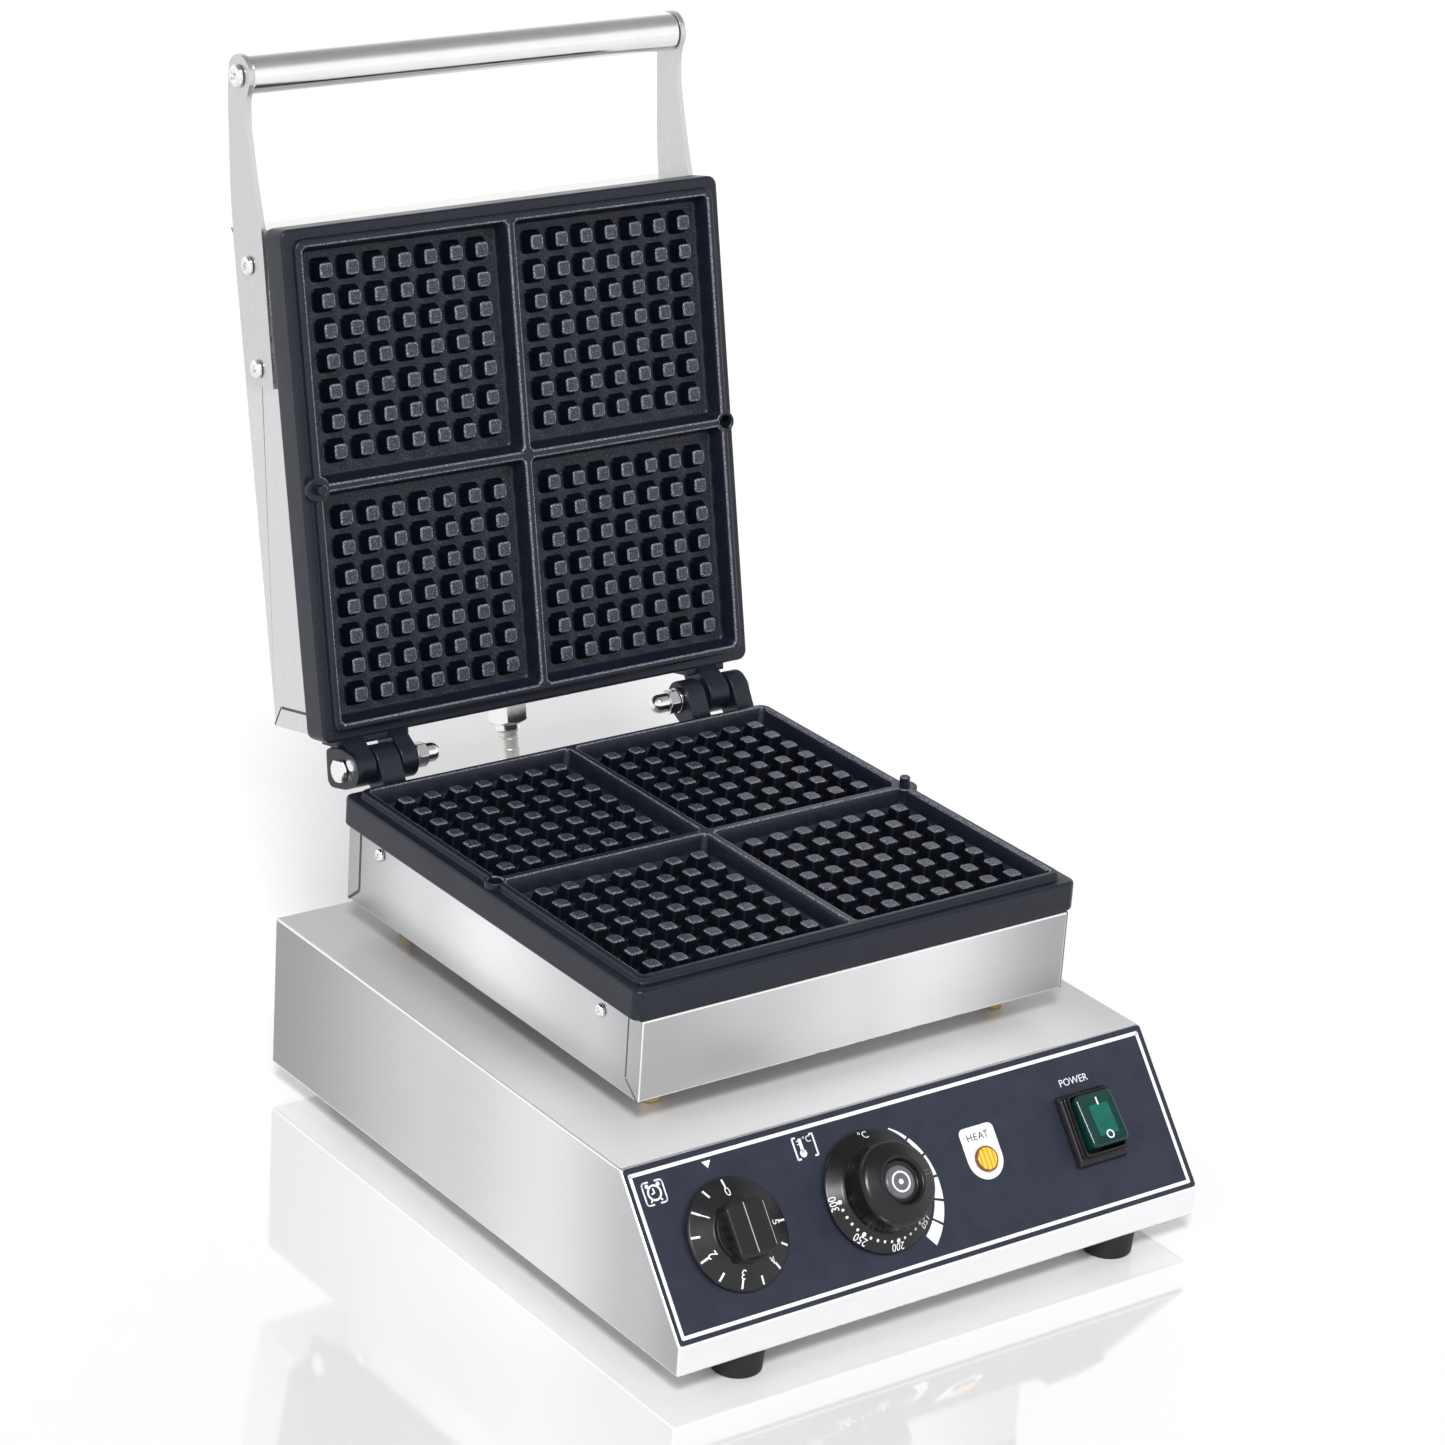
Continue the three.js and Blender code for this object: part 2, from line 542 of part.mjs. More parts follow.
function glandBody(size, thread, segments) {
  return join(
    hexRod('y', size.hexFlats, [GAP, size.hex], [0, 0, 0]),
    rod('y', size.collarRadius, [size.hex - CUT, size.hex + size.collar], [0, 0, 0], segments),
    rod('y', thread.radius, [-thread.reach, 2 * GAP], [0, 0, 0], 16),
  );
}

function mainsInlet() {
  const size = mainsGland;
  const flange = join(
    hexRod('y', 2 * size.flangeRadius * Math.cos(Math.PI / 6), [GAP, size.flange], [0, 0, 0]),
    revolved([
      [0, size.flange - CUT], [size.neckRadius, size.flange - CUT], [size.tipRadius, size.length],
      [0, size.length],
    ], 24).rotateX(-Math.PI / 2),
    rod('y', mainsThread.radius, [-mainsThread.reach, 2 * GAP], [0, 0, 0]),
  );
  return cut(flange, rod('y', size.boreRadius, [-mainsThread.reach - CUT, size.length + CUT], [0, 0, 0], 16));
}

function terminalBlock() {
  const floor = bottom.lift + bottom.thickness + GAP;
  let shape = solid(block(
    [terminal.x - terminal.width / 2, terminal.x + terminal.width / 2],
    [terminal.y - terminal.depth / 2, terminal.y + terminal.depth / 2],
    [floor, floor + terminal.height],
  ));
  const pitch = terminal.width / terminal.ways;
  for (let way = 0; way < terminal.ways; way += 1) {
    const x = terminal.x - terminal.width / 2 + (way + 0.5) * pitch;
    shape = cut(shape, block(
      [x - terminal.slot / 2, x + terminal.slot / 2],
      [terminal.y - terminal.slot / 2, terminal.y + terminal.slot / 2],
      [floor + terminal.height - terminal.slotDepth, floor + terminal.height + CUT],
    ));
  }
  return shape;
}

function sensorBulb() {
  const lead = tube(through(capillaryRoute), capillary.radius, capillary.sides, capillary.steps);
  return join(lead, rod('x', bulb.radius, [bulb.from, bulb.to], [0, bulb.y, bulb.z], 12));
}

// ---- controls, each in the panel's frame --------------------------------------------------------------
function controlCan(size, halfWidth, halfLength) {
  const top = -base.sheet - GAP;
  const across = [size.x - halfWidth, size.x + halfWidth];
  const can = join(
    block(across, [size.s - halfLength, size.s + halfLength], [top - size.depth, top]),
    panelRod(size.bushRadius, [top - CUT, size.bushTop], size),
  );
  return cut(can, panelRod(shaft.radius + shaft.clearance, [shaft.deep - CUT, size.bushTop + CUT], size, 16));
}

function knobShaft(size, boreTop) {
  return panelRod(shaft.radius, [shaft.deep, boreTop - shaft.belowBoreTop], size, 16);
}

function boredKnob(knob, boreTop, { x, s }) {
  return cut(knob, rod('z', knobBoreRadius, [0, boreTop], [0, 0, 0], 16)).translate([x, s, 0]);
}

function timerDial() {
  const k = timerKnob;
  const skirt = revolved([
    [0, k.under], [k.radius, k.under], [k.radius, k.edge - k.edgeChamfer], [k.radius - k.edgeChamfer, k.edge],
    [k.hubRadius, k.hubFoot], [k.hubRadius, k.hubTop], [0, k.hubTop],
  ], 40);
  const bar = slab(k.barWidth / 2, k.barLength / 2, k.barCorner, [k.hubFoot - CUT, k.top]);
  return boredKnob(join(skirt, bar), k.boreTop, timer);
}

function thermostatDial() {
  const d = dial;
  const knob = revolved([
    [0, d.under], [d.radius, d.under], [d.radius, d.edge - d.edgeChamfer], [d.radius - d.edgeChamfer, d.edge],
    [d.hubRadius, d.hubFoot], [d.wallRadius, d.wallTop], [d.shoulderRadius, d.shoulder],
    [d.topRadius, d.top], [d.dishRadius, d.top],
    [d.dishFoot, d.top - d.dishDepth], [d.capRadius, d.top - d.dishDepth],
    [d.capRadius - (d.dishDepth - d.capDepth) / 2, d.top - d.capDepth], [0, d.top - d.capDepth],
  ], 44);
  return boredKnob(solid(knob), d.boreTop, thermostat);
}

function switchFrame() {
  const low = GAP + fascia.thickness + GAP;
  const around = (s, width, length) => [
    rocker.x - width / 2, rocker.x + width / 2, s - length / 2, s + length / 2,
  ];
  const spans = (width, length) => {
    const [x0, x1, s0, s1] = around(rocker.s, width, length);
    return [[x0, x1], [s0, s1]];
  };
  const flange = tapered(
    around(bezel.s, bezel.width, bezel.length),
    around(bezel.s, bezel.width - 2 * bezel.lean, bezel.length - 2 * bezel.lean),
    [low, bezel.step],
  );
  const frame = join(
    flange,
    block(...spans(bezel.innerWidth, bezel.innerLength), [low, bezel.top]),
    block(...spans(switchBody.width, switchBody.length), [switchBody.deep, bezel.step - CUT]),
  );
  const cavity = spans(rocker.width + 4 * GAP, switchBody.cavityLength);
  return cut(frame, block(...cavity, [switchBody.cavityDeep, bezel.top + CUT]));
}

// The rocker around its pivot, level; it rests tilted with its upper end pressed in.
function switchRocker() {
  const r = rocker;
  const outline = [
    [-r.halfLength, r.flank], [-r.keelHalf, r.keel], [r.keelHalf, r.keel], [r.halfLength, r.flank],
    [r.halfLength, r.ends], [0, r.middle], [-r.halfLength, r.ends],
  ];
  const level = solid(prismX(outline, [-r.width / 2, r.width / 2]));
  return level.rotate([-r.tilt, 0, 0]).translate([r.x, r.s, r.pivot]);
}

function indicatorLens() {
  const low = GAP + fascia.thickness + GAP;
  const lens = revolved([
    [0, lamp.stemBottom], [lamp.stemRadius, lamp.stemBottom], [lamp.stemRadius, low], [lamp.lensRadius, low],
    [lamp.lensRadius, low + lamp.rim], [lamp.lensRadius - lamp.round, lamp.lensTop - lamp.crown],
    [0, lamp.lensTop],
  ], 24);
  return lens.translate(lamp.x, lamp.s, 0);
}

// ---- lid, made as it lies when closed -----------------------------------------------------------------
function lidHousing() {
  const { halfWidth, front, back, sheet } = lid;
  const box = solid(block([-halfWidth, halfWidth], [front, back], [lid.bottom, lid.top]));
  const sideSpan = [-halfWidth - CUT, halfWidth + CUT];
  const insideX = [-halfWidth + sheet, halfWidth - sheet];
  return cut(
    box,
    block(insideX, [front + sheet, back - sheet], [lid.bottom - CUT, lid.top - sheet]),
    ...bracketScrewPlaces.map(({ y }) => rod('x', bracketScrew.holeRadius, sideSpan, [0, y, bracketScrew.z], 12)),
    rod('y', glandThread.radius + glandThread.clearance, [back - 3 * CUT, back + CUT], [0, 0, lidGland.z]),
  );
}

function handleBracket(side) {
  const span = [bracket.inner, bracket.inner + bracket.thickness];
  const [x0, x1] = side === RIGHT ? span : [-span[1], -span[0]];
  const drill = [x0 - CUT, x1 + CUT];
  return cut(
    join(prismX(bracketOutline, [x0, x1]), rod('x', bracket.eyeRadius, [x0, x1], [0, handle.y, handle.z], 28)),
    rod('x', handleScrew.holeRadius, drill, [0, handle.y, handle.z], 12),
    ...bracketScrewPlaces.map(({ y }) => rod('x', bracketScrew.holeRadius, drill, [0, y, bracketScrew.z], 12)),
  );
}

function handleTube() {
  const half = bracket.inner - GAP;
  const place = [0, handle.y, handle.z];
  return cut(
    solid(rod('x', handle.radius, [-half, half], place, 28)),
    rod('x', handle.radius - handle.wall, [-half + handle.endWall, half - handle.endWall], place, 20),
    rod('x', handleScrew.holeRadius, [-half - CUT, half + CUT], place, 12),
  );
}

// Along each hinge, from the machine's side inwards: bolt head, knuckles, washer, acorn nut.
function hingeFasteners(side, outerFace, innerFace) {
  const place = [0, hinge.y, hinge.z];
  const span = (a, b) => (side === RIGHT ? [a, b] : [-b, -a]);
  const head = outerFace + GAP;
  const washerFace = innerFace - GAP - washer.thickness;
  const nutFace = washerFace - GAP - acornNut.hexHeight;
  const boltShape = join(
    hexRod('x', bolt.headFlats, span(head, head + bolt.headHeight), place),
    rod('x', bolt.radius, span(bolt.tip, head + CUT), place, 16),
  );
  const washerShape = cut(
    solid(rod('x', washer.outerRadius, span(washerFace, innerFace - GAP), place)),
    rod('x', hinge.boreRadius, span(washerFace - CUT, innerFace + CUT), place, 16),
  );
  const dome = revolved([
    [0, 0],
    ...acornNut.domeProfile.map(([r, h]) => [r * acornNut.domeRadius, h * acornNut.domeHeight]),
    [0, acornNut.domeHeight],
  ], 18);
  dome.rotateY((-side * Math.PI) / 2).translate(side * (nutFace + CUT), hinge.y, hinge.z);
  const nutEnd = nutFace + acornNut.hexHeight;
  const nutShape = cut(
    join(hexRod('x', acornNut.acrossFlats, span(nutFace, nutEnd), place), dome),
    rod('x', hinge.boreRadius, span(nutEnd - acornNut.boreDepth, nutEnd + CUT), place, 16),
  );
  return { boltShape, washerShape, nutShape };
}

function hoseFerrule() {
  const start = lidGland.hex + lidGland.collar + GAP;
  const end = start + ferrule.length;
  return join(
    rod('y', ferrule.radius, [start, end], [0, 0, 0], 20),
    rod('y', ferrule.lipRadius, [end - CUT, end + ferrule.lip], [0, 0, 0], 20),
  );
}

// ---- assembly -----------------------------------------------------------------------------------------
const machine = new THREE.Group();
machine.position.z = foot.height;

add(machine, 'base_shell', baseShell(), steel);
add(machine, 'bottom_plate', bottomPlate(), steel);
add(machine, 'back_panel', backPanel(), steel);
for (const { label, x, y } of footPlaces) {
  add(machine, `foot_${label}`, rubberFoot(), blackRubber).position.set(x, y, 0);
  add(machine, `foot_screw_${label}`, feetScrew(), brightSteel).position.set(x, y, 0);
}

add(machine, 'heater_tray', heaterTray(), steel);
for (const { label, x, y } of standoffPlaces) add(machine, `standoff_${label}`, hexStandoff(x, y), brass);
for (const { label, side } of SIDES) {
  for (const place of trayScrewPlaces) {
    const screw = sideScrew(traySmallScrew, side, tray.halfWidth, place.y, place.z);
    add(machine, `tray_screw_${place.label}_${label}`, screw, brightSteel);
  }
}
add(machine, 'lower_plate', lowerPlate(), castBlack);
const undersideOf = (shelf) => shelf + plate.rimHeight - plate.cellDepth - plate.floor;
const lowerUnderside = undersideOf(lowerShelf);
const elementDrop = element.radius + element.belowFloor;
add(machine, 'lower_heating_element', heatingElement(lowerUnderside - elementDrop), steel);
const lowerPadTop = lowerUnderside - insulation.fromPlate - 3 * GAP;
const lowerPad = cut(
  insulationPad(lowerPadTop - insulation.thickness, lowerPadTop),
  rod('z', capillary.holeRadius + 2 * CUT, [lowerPadTop - 2 * insulation.thickness, lowerPadTop + CUT],
    [capillaryRoute[5][0], bulb.y, 0], 12),
);
add(machine, 'lower_insulation', lowerPad, wool);

const panel = new THREE.Group();
panel.position.set(0, base.front, base.lip);
panel.rotation.x = slopeAngle;
machine.add(panel);
add(panel, 'control_fascia', controlFascia(), navyPanel);
add(panel, 'timer_body', controlCan(timer, timer.can / 2, timer.can / 2), greyPlastic);
add(panel, 'timer_shaft', knobShaft(timer, timerKnob.boreTop), brightSteel);
add(panel, 'timer_knob', timerDial(), blackPlastic);
const thermostatCan = controlCan(thermostat, thermostat.width / 2, thermostat.length / 2);
add(panel, 'thermostat_body', thermostatCan, greyPlastic);
add(panel, 'thermostat_shaft', knobShaft(thermostat, dial.boreTop), brightSteel);
add(panel, 'thermostat_knob', thermostatDial(), blackPlastic);
add(panel, 'switch_frame', switchFrame(), blackPlastic);
add(panel, 'switch_rocker', switchRocker(), greenPlastic);
add(panel, 'indicator_lens', indicatorLens(), amberPlastic);
const lampBody = panelRod(lamp.bodyRadius, [lamp.bodyDeep, lamp.stemBottom - GAP], lamp);
add(panel, 'indicator_lamp', lampBody, greyPlastic);

add(machine, 'thermostat_bulb', sensorBulb(), brightSteel);
add(machine, 'terminal_block', terminalBlock(), greyPlastic);
add(machine, 'mains_gland', mainsInlet(), blackPlastic).position.set(mainsGland.x, panelBack, mainsGland.z);
const hoseOutlet = add(machine, 'hose_gland_base', glandBody(baseGland, glandThread, 20), brightSteel);
hoseOutlet.position.set(baseGland.x, panelBack, baseGland.z);
add(machine, 'conduit_hose', tube(through(hoseRoute), hose.radius, hose.sides, hose.steps), steel);

// The lid's pieces lie in closed position inside a group that turns about the hinge axis to open it.
const lidHinge = new THREE.Group();
lidHinge.position.set(0, hinge.y, hinge.z);
lidHinge.rotation.x = THREE.MathUtils.degToRad(-hinge.openAngle);
machine.add(lidHinge);
const lidClosed = new THREE.Group();
lidClosed.position.set(0, -hinge.y, -hinge.z);
lidHinge.add(lidClosed);

add(lidClosed, 'upper_plate', upperPlate(), castBlack);
add(lidClosed, 'lid_housing', lidHousing(), steel);
const upperUnderside = upperShelf - undersideOf(0);
add(lidClosed, 'upper_heating_element', heatingElement(upperUnderside + elementDrop), steel);
const upperPadBottom = upperUnderside + insulation.fromPlate + 3 * GAP;
add(lidClosed, 'upper_insulation', insulationPad(upperPadBottom, upperPadBottom + insulation.thickness), wool);
add(lidClosed, 'handle_tube', handleTube(), brightSteel);
for (const { label, side } of SIDES) {
  const outside = bracket.inner + bracket.thickness;
  add(lidClosed, `handle_bracket_${label}`, handleBracket(side), steel);
  add(lidClosed, `handle_screw_${label}`, sideScrew(handleScrew, side, outside, handle.y, handle.z), brightSteel);
  for (const place of bracketScrewPlaces) {
    const screw = sideScrew(bracketScrew, side, outside, place.y, bracketScrew.z);
    add(lidClosed, `bracket_screw_${place.label}_${label}`, screw, brightSteel);
  }
}
const hingeFaces = {
  left: [-ear.from, -upperKnuckles[1][1]],
  right: [lowerKnuckles[2][1], lowerKnuckles[1][0]],
};
for (const { label, side } of SIDES) {
  const { boltShape, washerShape, nutShape } = hingeFasteners(side, ...hingeFaces[label]);
  add(lidClosed, `hinge_bolt_${label}`, boltShape, brightSteel);
  add(lidClosed, `hinge_washer_${label}`, washerShape, brightSteel);
  add(lidClosed, `hinge_nut_${label}`, nutShape, brightSteel);
}
add(lidClosed, 'hose_gland_lid', glandBody(lidGland, glandThread, 20), brightSteel)
  .position.set(0, lid.back, lidGland.z);
add(lidClosed, 'hose_ferrule', hoseFerrule(), brightSteel).position.set(0, lid.back, lidGland.z);

// The origin is set below the middle of the whole machine's depth.
const part = new THREE.Group();
part.add(machine);
const extent = new THREE.Box3().setFromObject(part, true);
machine.position.y = -(extent.min.y + extent.max.y) / 2;

export default part;
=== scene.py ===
import json
import math

import bmesh
import bpy
from mathutils import Matrix, Vector


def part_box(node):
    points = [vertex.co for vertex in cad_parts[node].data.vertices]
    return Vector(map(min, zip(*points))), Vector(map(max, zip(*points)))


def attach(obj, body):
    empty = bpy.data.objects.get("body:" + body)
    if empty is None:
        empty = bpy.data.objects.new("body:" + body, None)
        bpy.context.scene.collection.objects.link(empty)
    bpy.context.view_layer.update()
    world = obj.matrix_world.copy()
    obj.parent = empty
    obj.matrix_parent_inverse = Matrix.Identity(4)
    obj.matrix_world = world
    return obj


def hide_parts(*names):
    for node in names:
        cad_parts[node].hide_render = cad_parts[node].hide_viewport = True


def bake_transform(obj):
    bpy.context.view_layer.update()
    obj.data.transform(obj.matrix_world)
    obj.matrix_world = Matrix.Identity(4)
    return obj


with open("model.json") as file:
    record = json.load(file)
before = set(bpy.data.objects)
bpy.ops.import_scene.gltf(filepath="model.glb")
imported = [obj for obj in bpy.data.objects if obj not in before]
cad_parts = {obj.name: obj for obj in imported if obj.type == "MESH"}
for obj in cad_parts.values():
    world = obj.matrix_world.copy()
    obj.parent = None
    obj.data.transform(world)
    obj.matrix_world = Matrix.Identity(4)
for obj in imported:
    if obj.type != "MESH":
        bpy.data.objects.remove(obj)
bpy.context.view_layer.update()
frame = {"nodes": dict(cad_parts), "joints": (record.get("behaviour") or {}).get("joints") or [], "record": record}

MM = 0.001
TAU = 2 * math.pi

# ---- frames -------------------------------------------------------------------------------------------
FRONT, LIP, CREST, HEIGHT = -151, 12.5, -106.5, 67.8
shell_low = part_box("base_shell")[0]
HOUSING = Matrix.Translation((0, shell_low.y - FRONT * MM, shell_low.z)) @ Matrix.Scale(MM, 4)
SLOPE = math.atan2(HEIGHT - LIP, CREST - FRONT)
PANEL = HOUSING @ Matrix.Translation((0, FRONT, LIP)) @ Matrix.Rotation(SLOPE, 4, "X")

HINGE_Y, HINGE_Z = 144, 132.3
lid_joint = next(j for j in frame["joints"] if j["name"] == "lid_hinge")
OPEN_ANGLE = math.radians(lid_joint["range_deg"][1])
TO_HINGE = Matrix.Translation((0, HINGE_Y, HINGE_Z))
LID = HOUSING @ TO_HINGE @ Matrix.Rotation(-OPEN_ANGLE, 4, "X") @ TO_HINGE.inverted()


# ---- camera -------------------------------------------------------------------------------------------
CAMERA_PLACE = (-988.5245, -1278.0727, 843.2)
CAMERA_YAW, CAMERA_PITCH, CAMERA_ROLL = (math.radians(v) for v in (-37.3126, -22.1122, 3.8506))
SENSOR = 36
LENS = 107.675


def add_camera():
    data = bpy.data.cameras.new("camera")
    data.lens = LENS
    data.sensor_width = SENSOR
    data.clip_end = 50
    camera = bpy.data.objects.new("camera", data)
    bpy.context.scene.collection.objects.link(camera)
    cos_pitch = math.cos(CAMERA_PITCH)
    sideways, ahead = -math.sin(CAMERA_YAW), math.cos(CAMERA_YAW)
    forward = Vector((sideways * cos_pitch, ahead * cos_pitch, math.sin(CAMERA_PITCH)))
    level = Vector((math.cos(CAMERA_YAW), math.sin(CAMERA_YAW), 0))
    upright = level.cross(forward)
    right = level * math.cos(CAMERA_ROLL) + upright * math.sin(CAMERA_ROLL)
    up = upright * math.cos(CAMERA_ROLL) - level * math.sin(CAMERA_ROLL)
    place = Matrix((right, up, -forward)).transposed().to_4x4()
    place.translation = HOUSING @ Vector(CAMERA_PLACE)
    camera.matrix_world = place
    bpy.context.scene.camera = camera


add_camera()


# ---- materials ----------------------------------------------------------------------------------------
def fill(tree, node, sockets):
    """Gives each named input a constant, or links another node's output to it."""
    for name, value in sockets.items():
        socket = node.inputs[name.replace("_", " ")]
        if isinstance(value, bpy.types.NodeSocket):
            tree.links.new(value, socket)
        else:
            socket.default_value = value


def new_material(name, **sockets):
    """A material with one Principled shader, its constants set on the shader's own sockets."""
    material = bpy.data.materials.new(name)
    material.use_nodes = True
    shader = material.node_tree.nodes["Principled BSDF"]
    fill(material.node_tree, shader, sockets)
    return material, material.node_tree, shader


def added(tree, kind, output, **sockets):
    """The named output of one more shader node."""
    node = tree.nodes.new("ShaderNode" + kind)
    fill(tree, node, sockets)
    return node.outputs[output]


def object_point(tree, stretch=(1, 1, 1)):
    """The surface point in metres, scaled along each axis."""
    return added(tree, "Mapping", "Vector", Vector=added(tree, "TexCoord", "Object"), Scale=stretch)


def noise(tree, scale, detail=2.0, stretch=(1, 1, 1)):
    return added(tree, "TexNoise", "Fac", Vector=object_point(tree, stretch), Scale=scale, Detail=detail)


def spread(tree, source, low, high, start=0.3, end=0.7):
    """Maps source from start..end to low..high."""
    levels = {"From_Min": start, "From_Max": end, "To_Min": low, "To_Max": high}
    return added(tree, "MapRange", "Result", Value=source, **levels)


def ramp(tree, factor, stops, easing="LINEAR"):
    """A colour read from a factor: stops are (position, colour) in order."""
    node = tree.nodes.new("ShaderNodeValToRGB")
    node.color_ramp.interpolation = easing
    elements = node.color_ramp.elements
    while len(elements) < len(stops):
        elements.new(0.5)
    for element, (position, colour) in zip(elements, stops):
        element.position = position
        element.color = (*colour, 1)
    fill(tree, node, {"Fac": factor})
    return node.outputs["Color"]


def blended(tree, factor, first, second):
    return ramp(tree, factor, [(0, first), (1, second)])


def bump(tree, shader, height, distance, strength):
    raised = added(tree, "Bump", "Normal", Height=height, Distance=distance, Strength=strength)
    fill(tree, shader, {"Normal": raised})


def along(tree, axis, stops):
    """A grey level read from the place along one axis: stops are (metres, level) in order."""
    place = added(tree, "SeparateXYZ", axis, Vector=added(tree, "TexCoord", "Object"))
    first, last = stops[0][0], stops[-1][0]
    levels = [((spot - first) / (last - first), (level, level, level)) for spot, level in stops]
    return ramp(tree, spread(tree, place, 0, 1, first, last), levels, "EASE")


def multiplied(tree, first, second):
    node = tree.nodes.new("ShaderNodeVectorMath")
    node.operation = "MULTIPLY"
    tree.links.new(first, node.inputs[0])
    tree.links.new(second, node.inputs[1])
    return node.outputs["Vector"]


def coloured(tree, shader, colour, source, rough, least, most):
    """Sets the colour, and a roughness that follows source between two shares of rough."""
    fill(tree, shader, {"Base Color": colour, "Roughness": spread(tree, source, rough * least, rough * most)})


ALONG_X, ALONG_Y, ALONG_Z = (10, 1400, 1400), (1400, 10, 1400), (1400, 1400, 10)


def brushed_steel(name, tone, rough, grain, painted_reflections=(), metallic=0.9):
    """Sheet steel with a fine grain along the axis of the smallest stretch, and broad soft bands of painted
    reflection and shade multiplied into its colour.
    """
    material, tree, shader = new_material(name, Metallic=metallic)
    lines = noise(tree, 1.0, 1.0, grain)
    colour = blended(tree, spread(tree, lines, 0, 1), tuple(c * 0.975 for c in tone), tone)
    # Each band is painted reflection and shade: a grey level along one axis, multiplied into the colour.
    for axis, stops in painted_reflections:
        colour = multiplied(tree, colour, along(tree, axis, stops))
    coloured(tree, shader, colour, lines, rough, 0.96, 1.04)
    return material


def polished_steel(name, tone, rough):
    material, tree, shader = new_material(name, Metallic=1.0)
    cloud = noise(tree, 60.0, 3.0)
    colour = blended(tree, spread(tree, cloud, 0, 1), tuple(c * 0.94 for c in tone), tone)
    coloured(tree, shader, colour, cloud, rough, 0.7, 1.4)
    return material


def nonstick(name, low, high, rough, sheen, flecks_from=0.6):
    """Blue-black coating, slightly pebbled, with fine pale flecks."""
    material, tree, shader = new_material(name, Specular_IOR_Level=sheen)
    flecks = spread(tree, noise(tree, 2100.0), 0, 1, flecks_from, 0.85)
    coloured(tree, shader, blended(tree, flecks, low, high), noise(tree, 45.0, 3.0), rough, 0.85, 1.15)
    bump(tree, shader, noise(tree, 1300.0, 3.0), 0.00008, 0.6)
    return material


def plastic(name, low, high, rough, pebble=0.00003, **sockets):
    material, tree, shader = new_material(name, **sockets)
    cloud = noise(tree, 120.0, 4.0)
    coloured(tree, shader, blended(tree, spread(tree, cloud, 0, 1), low, high), cloud, rough, 0.85, 1.15)
    bump(tree, shader, noise(tree, 1800.0), pebble, 0.4)
    return material


def ribbed_amber():
    """Lit amber lens with fine upright ribs moulded in it."""
    material, tree, shader = new_material("amber_lens", Coat_Weight=0.6, Emission_Strength=0.55)
    ribs = added(tree, "TexWave", "Fac", Vector=object_point(tree), Scale=150.0, Distortion=0.4)
    colour = blended(tree, ribs, (0.62, 0.2, 0.004), (1.0, 0.5, 0.03))
    rough = spread(tree, ribs, 0.2, 0.32, 0, 1)
    fill(tree, shader, {"Base Color": colour, "Emission Color": colour, "Roughness": rough})
    bump(tree, shader, ribs, 0.0002, 0.7)
    return material


def wool():
    material, tree, shader = new_material("mineral_wool", Roughness=0.95)
    fibres = noise(tree, 900.0, 5.0, (1, 1, 6))
    fill(tree, shader, {"Base Color": blended(tree, fibres, (0.55, 0.52, 0.44), (0.8, 0.78, 0.7))})
    bump(tree, shader, fibres, 0.0006, 0.8)
    return material


STEEL_TONE = (0.84, 0.84, 0.85)
BASE_FRONT, BASE_REAR = (corner.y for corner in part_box("base_shell"))
# Painted reflections and shade on the base's sides and top: grey levels along one axis, lighter where a bright
# reflection is painted and darker towards the rear.
SIDE_PAINTED_REFLECTIONS = [(1, [(BASE_FRONT, 0.5), (-0.165, 0.62), (-0.1, 0.92), (-0.03, 0.74), (BASE_REAR, 0.38)])]
TOP_PAINTED_REFLECTIONS = [
    (1, [(-0.15, 1.0), (-0.1, 0.94), (-0.02, 0.66), (BASE_REAR, 0.58)]),
    (0, [(-0.13, 1.0), (0.05, 1.0), (0.13, 0.68)]),
]
# The base, lid and tray steels are lit and shaded copies of one steel for the faces of each sheet: their side, top
# and lip tones differ by how light falls on each face.
BASE_STEEL = brushed_steel("steel_base", STEEL_TONE, 0.3, ALONG_X, metallic=0.8)
BASE_SIDE = brushed_steel("steel_base_side", STEEL_TONE, 0.3, ALONG_Y, SIDE_PAINTED_REFLECTIONS, 0.8)
BASE_TOP = brushed_steel("steel_base_top", (0.8, 0.8, 0.805), 0.42, ALONG_X, TOP_PAINTED_REFLECTIONS, 0.25)
BASE_LIP = brushed_steel("steel_base_lip", (0.9, 0.9, 0.905), 0.3, ALONG_X, metallic=0.8)
LID_STEEL = brushed_steel("steel_lid", (0.74, 0.74, 0.74), 0.28, ALONG_X)
LID_SIDE = brushed_steel("steel_lid_side", (0.66, 0.66, 0.66), 0.28, ALONG_Z)
BRACKET_STEEL = brushed_steel("steel_bracket", (0.6, 0.6, 0.6), 0.28, ALONG_Z)
# Painted reflections and shade on the tray's front and sides: grey levels along one axis, darker towards both
# ends.
TRAY_PAINTED_REFLECTIONS = [(0, [(-0.106, 0.54), (-0.05, 0.68), (0.0, 0.84), (0.03, 0.94), (0.106, 0.44)])]
TRAY_SIDE_PAINTED_REFLECTIONS = [(1, [(-0.127, 0.48), (-0.09, 0.66), (-0.02, 0.94), (0.03, 0.74), (0.09, 0.42)])]
TRAY_STEEL = brushed_steel("steel_tray", (0.92, 0.92, 0.93), 0.38, ALONG_X, TRAY_PAINTED_REFLECTIONS)
TRAY_SIDE = brushed_steel("steel_tray_side", (0.95, 0.95, 0.96), 0.26, ALONG_Y, TRAY_SIDE_PAINTED_REFLECTIONS)
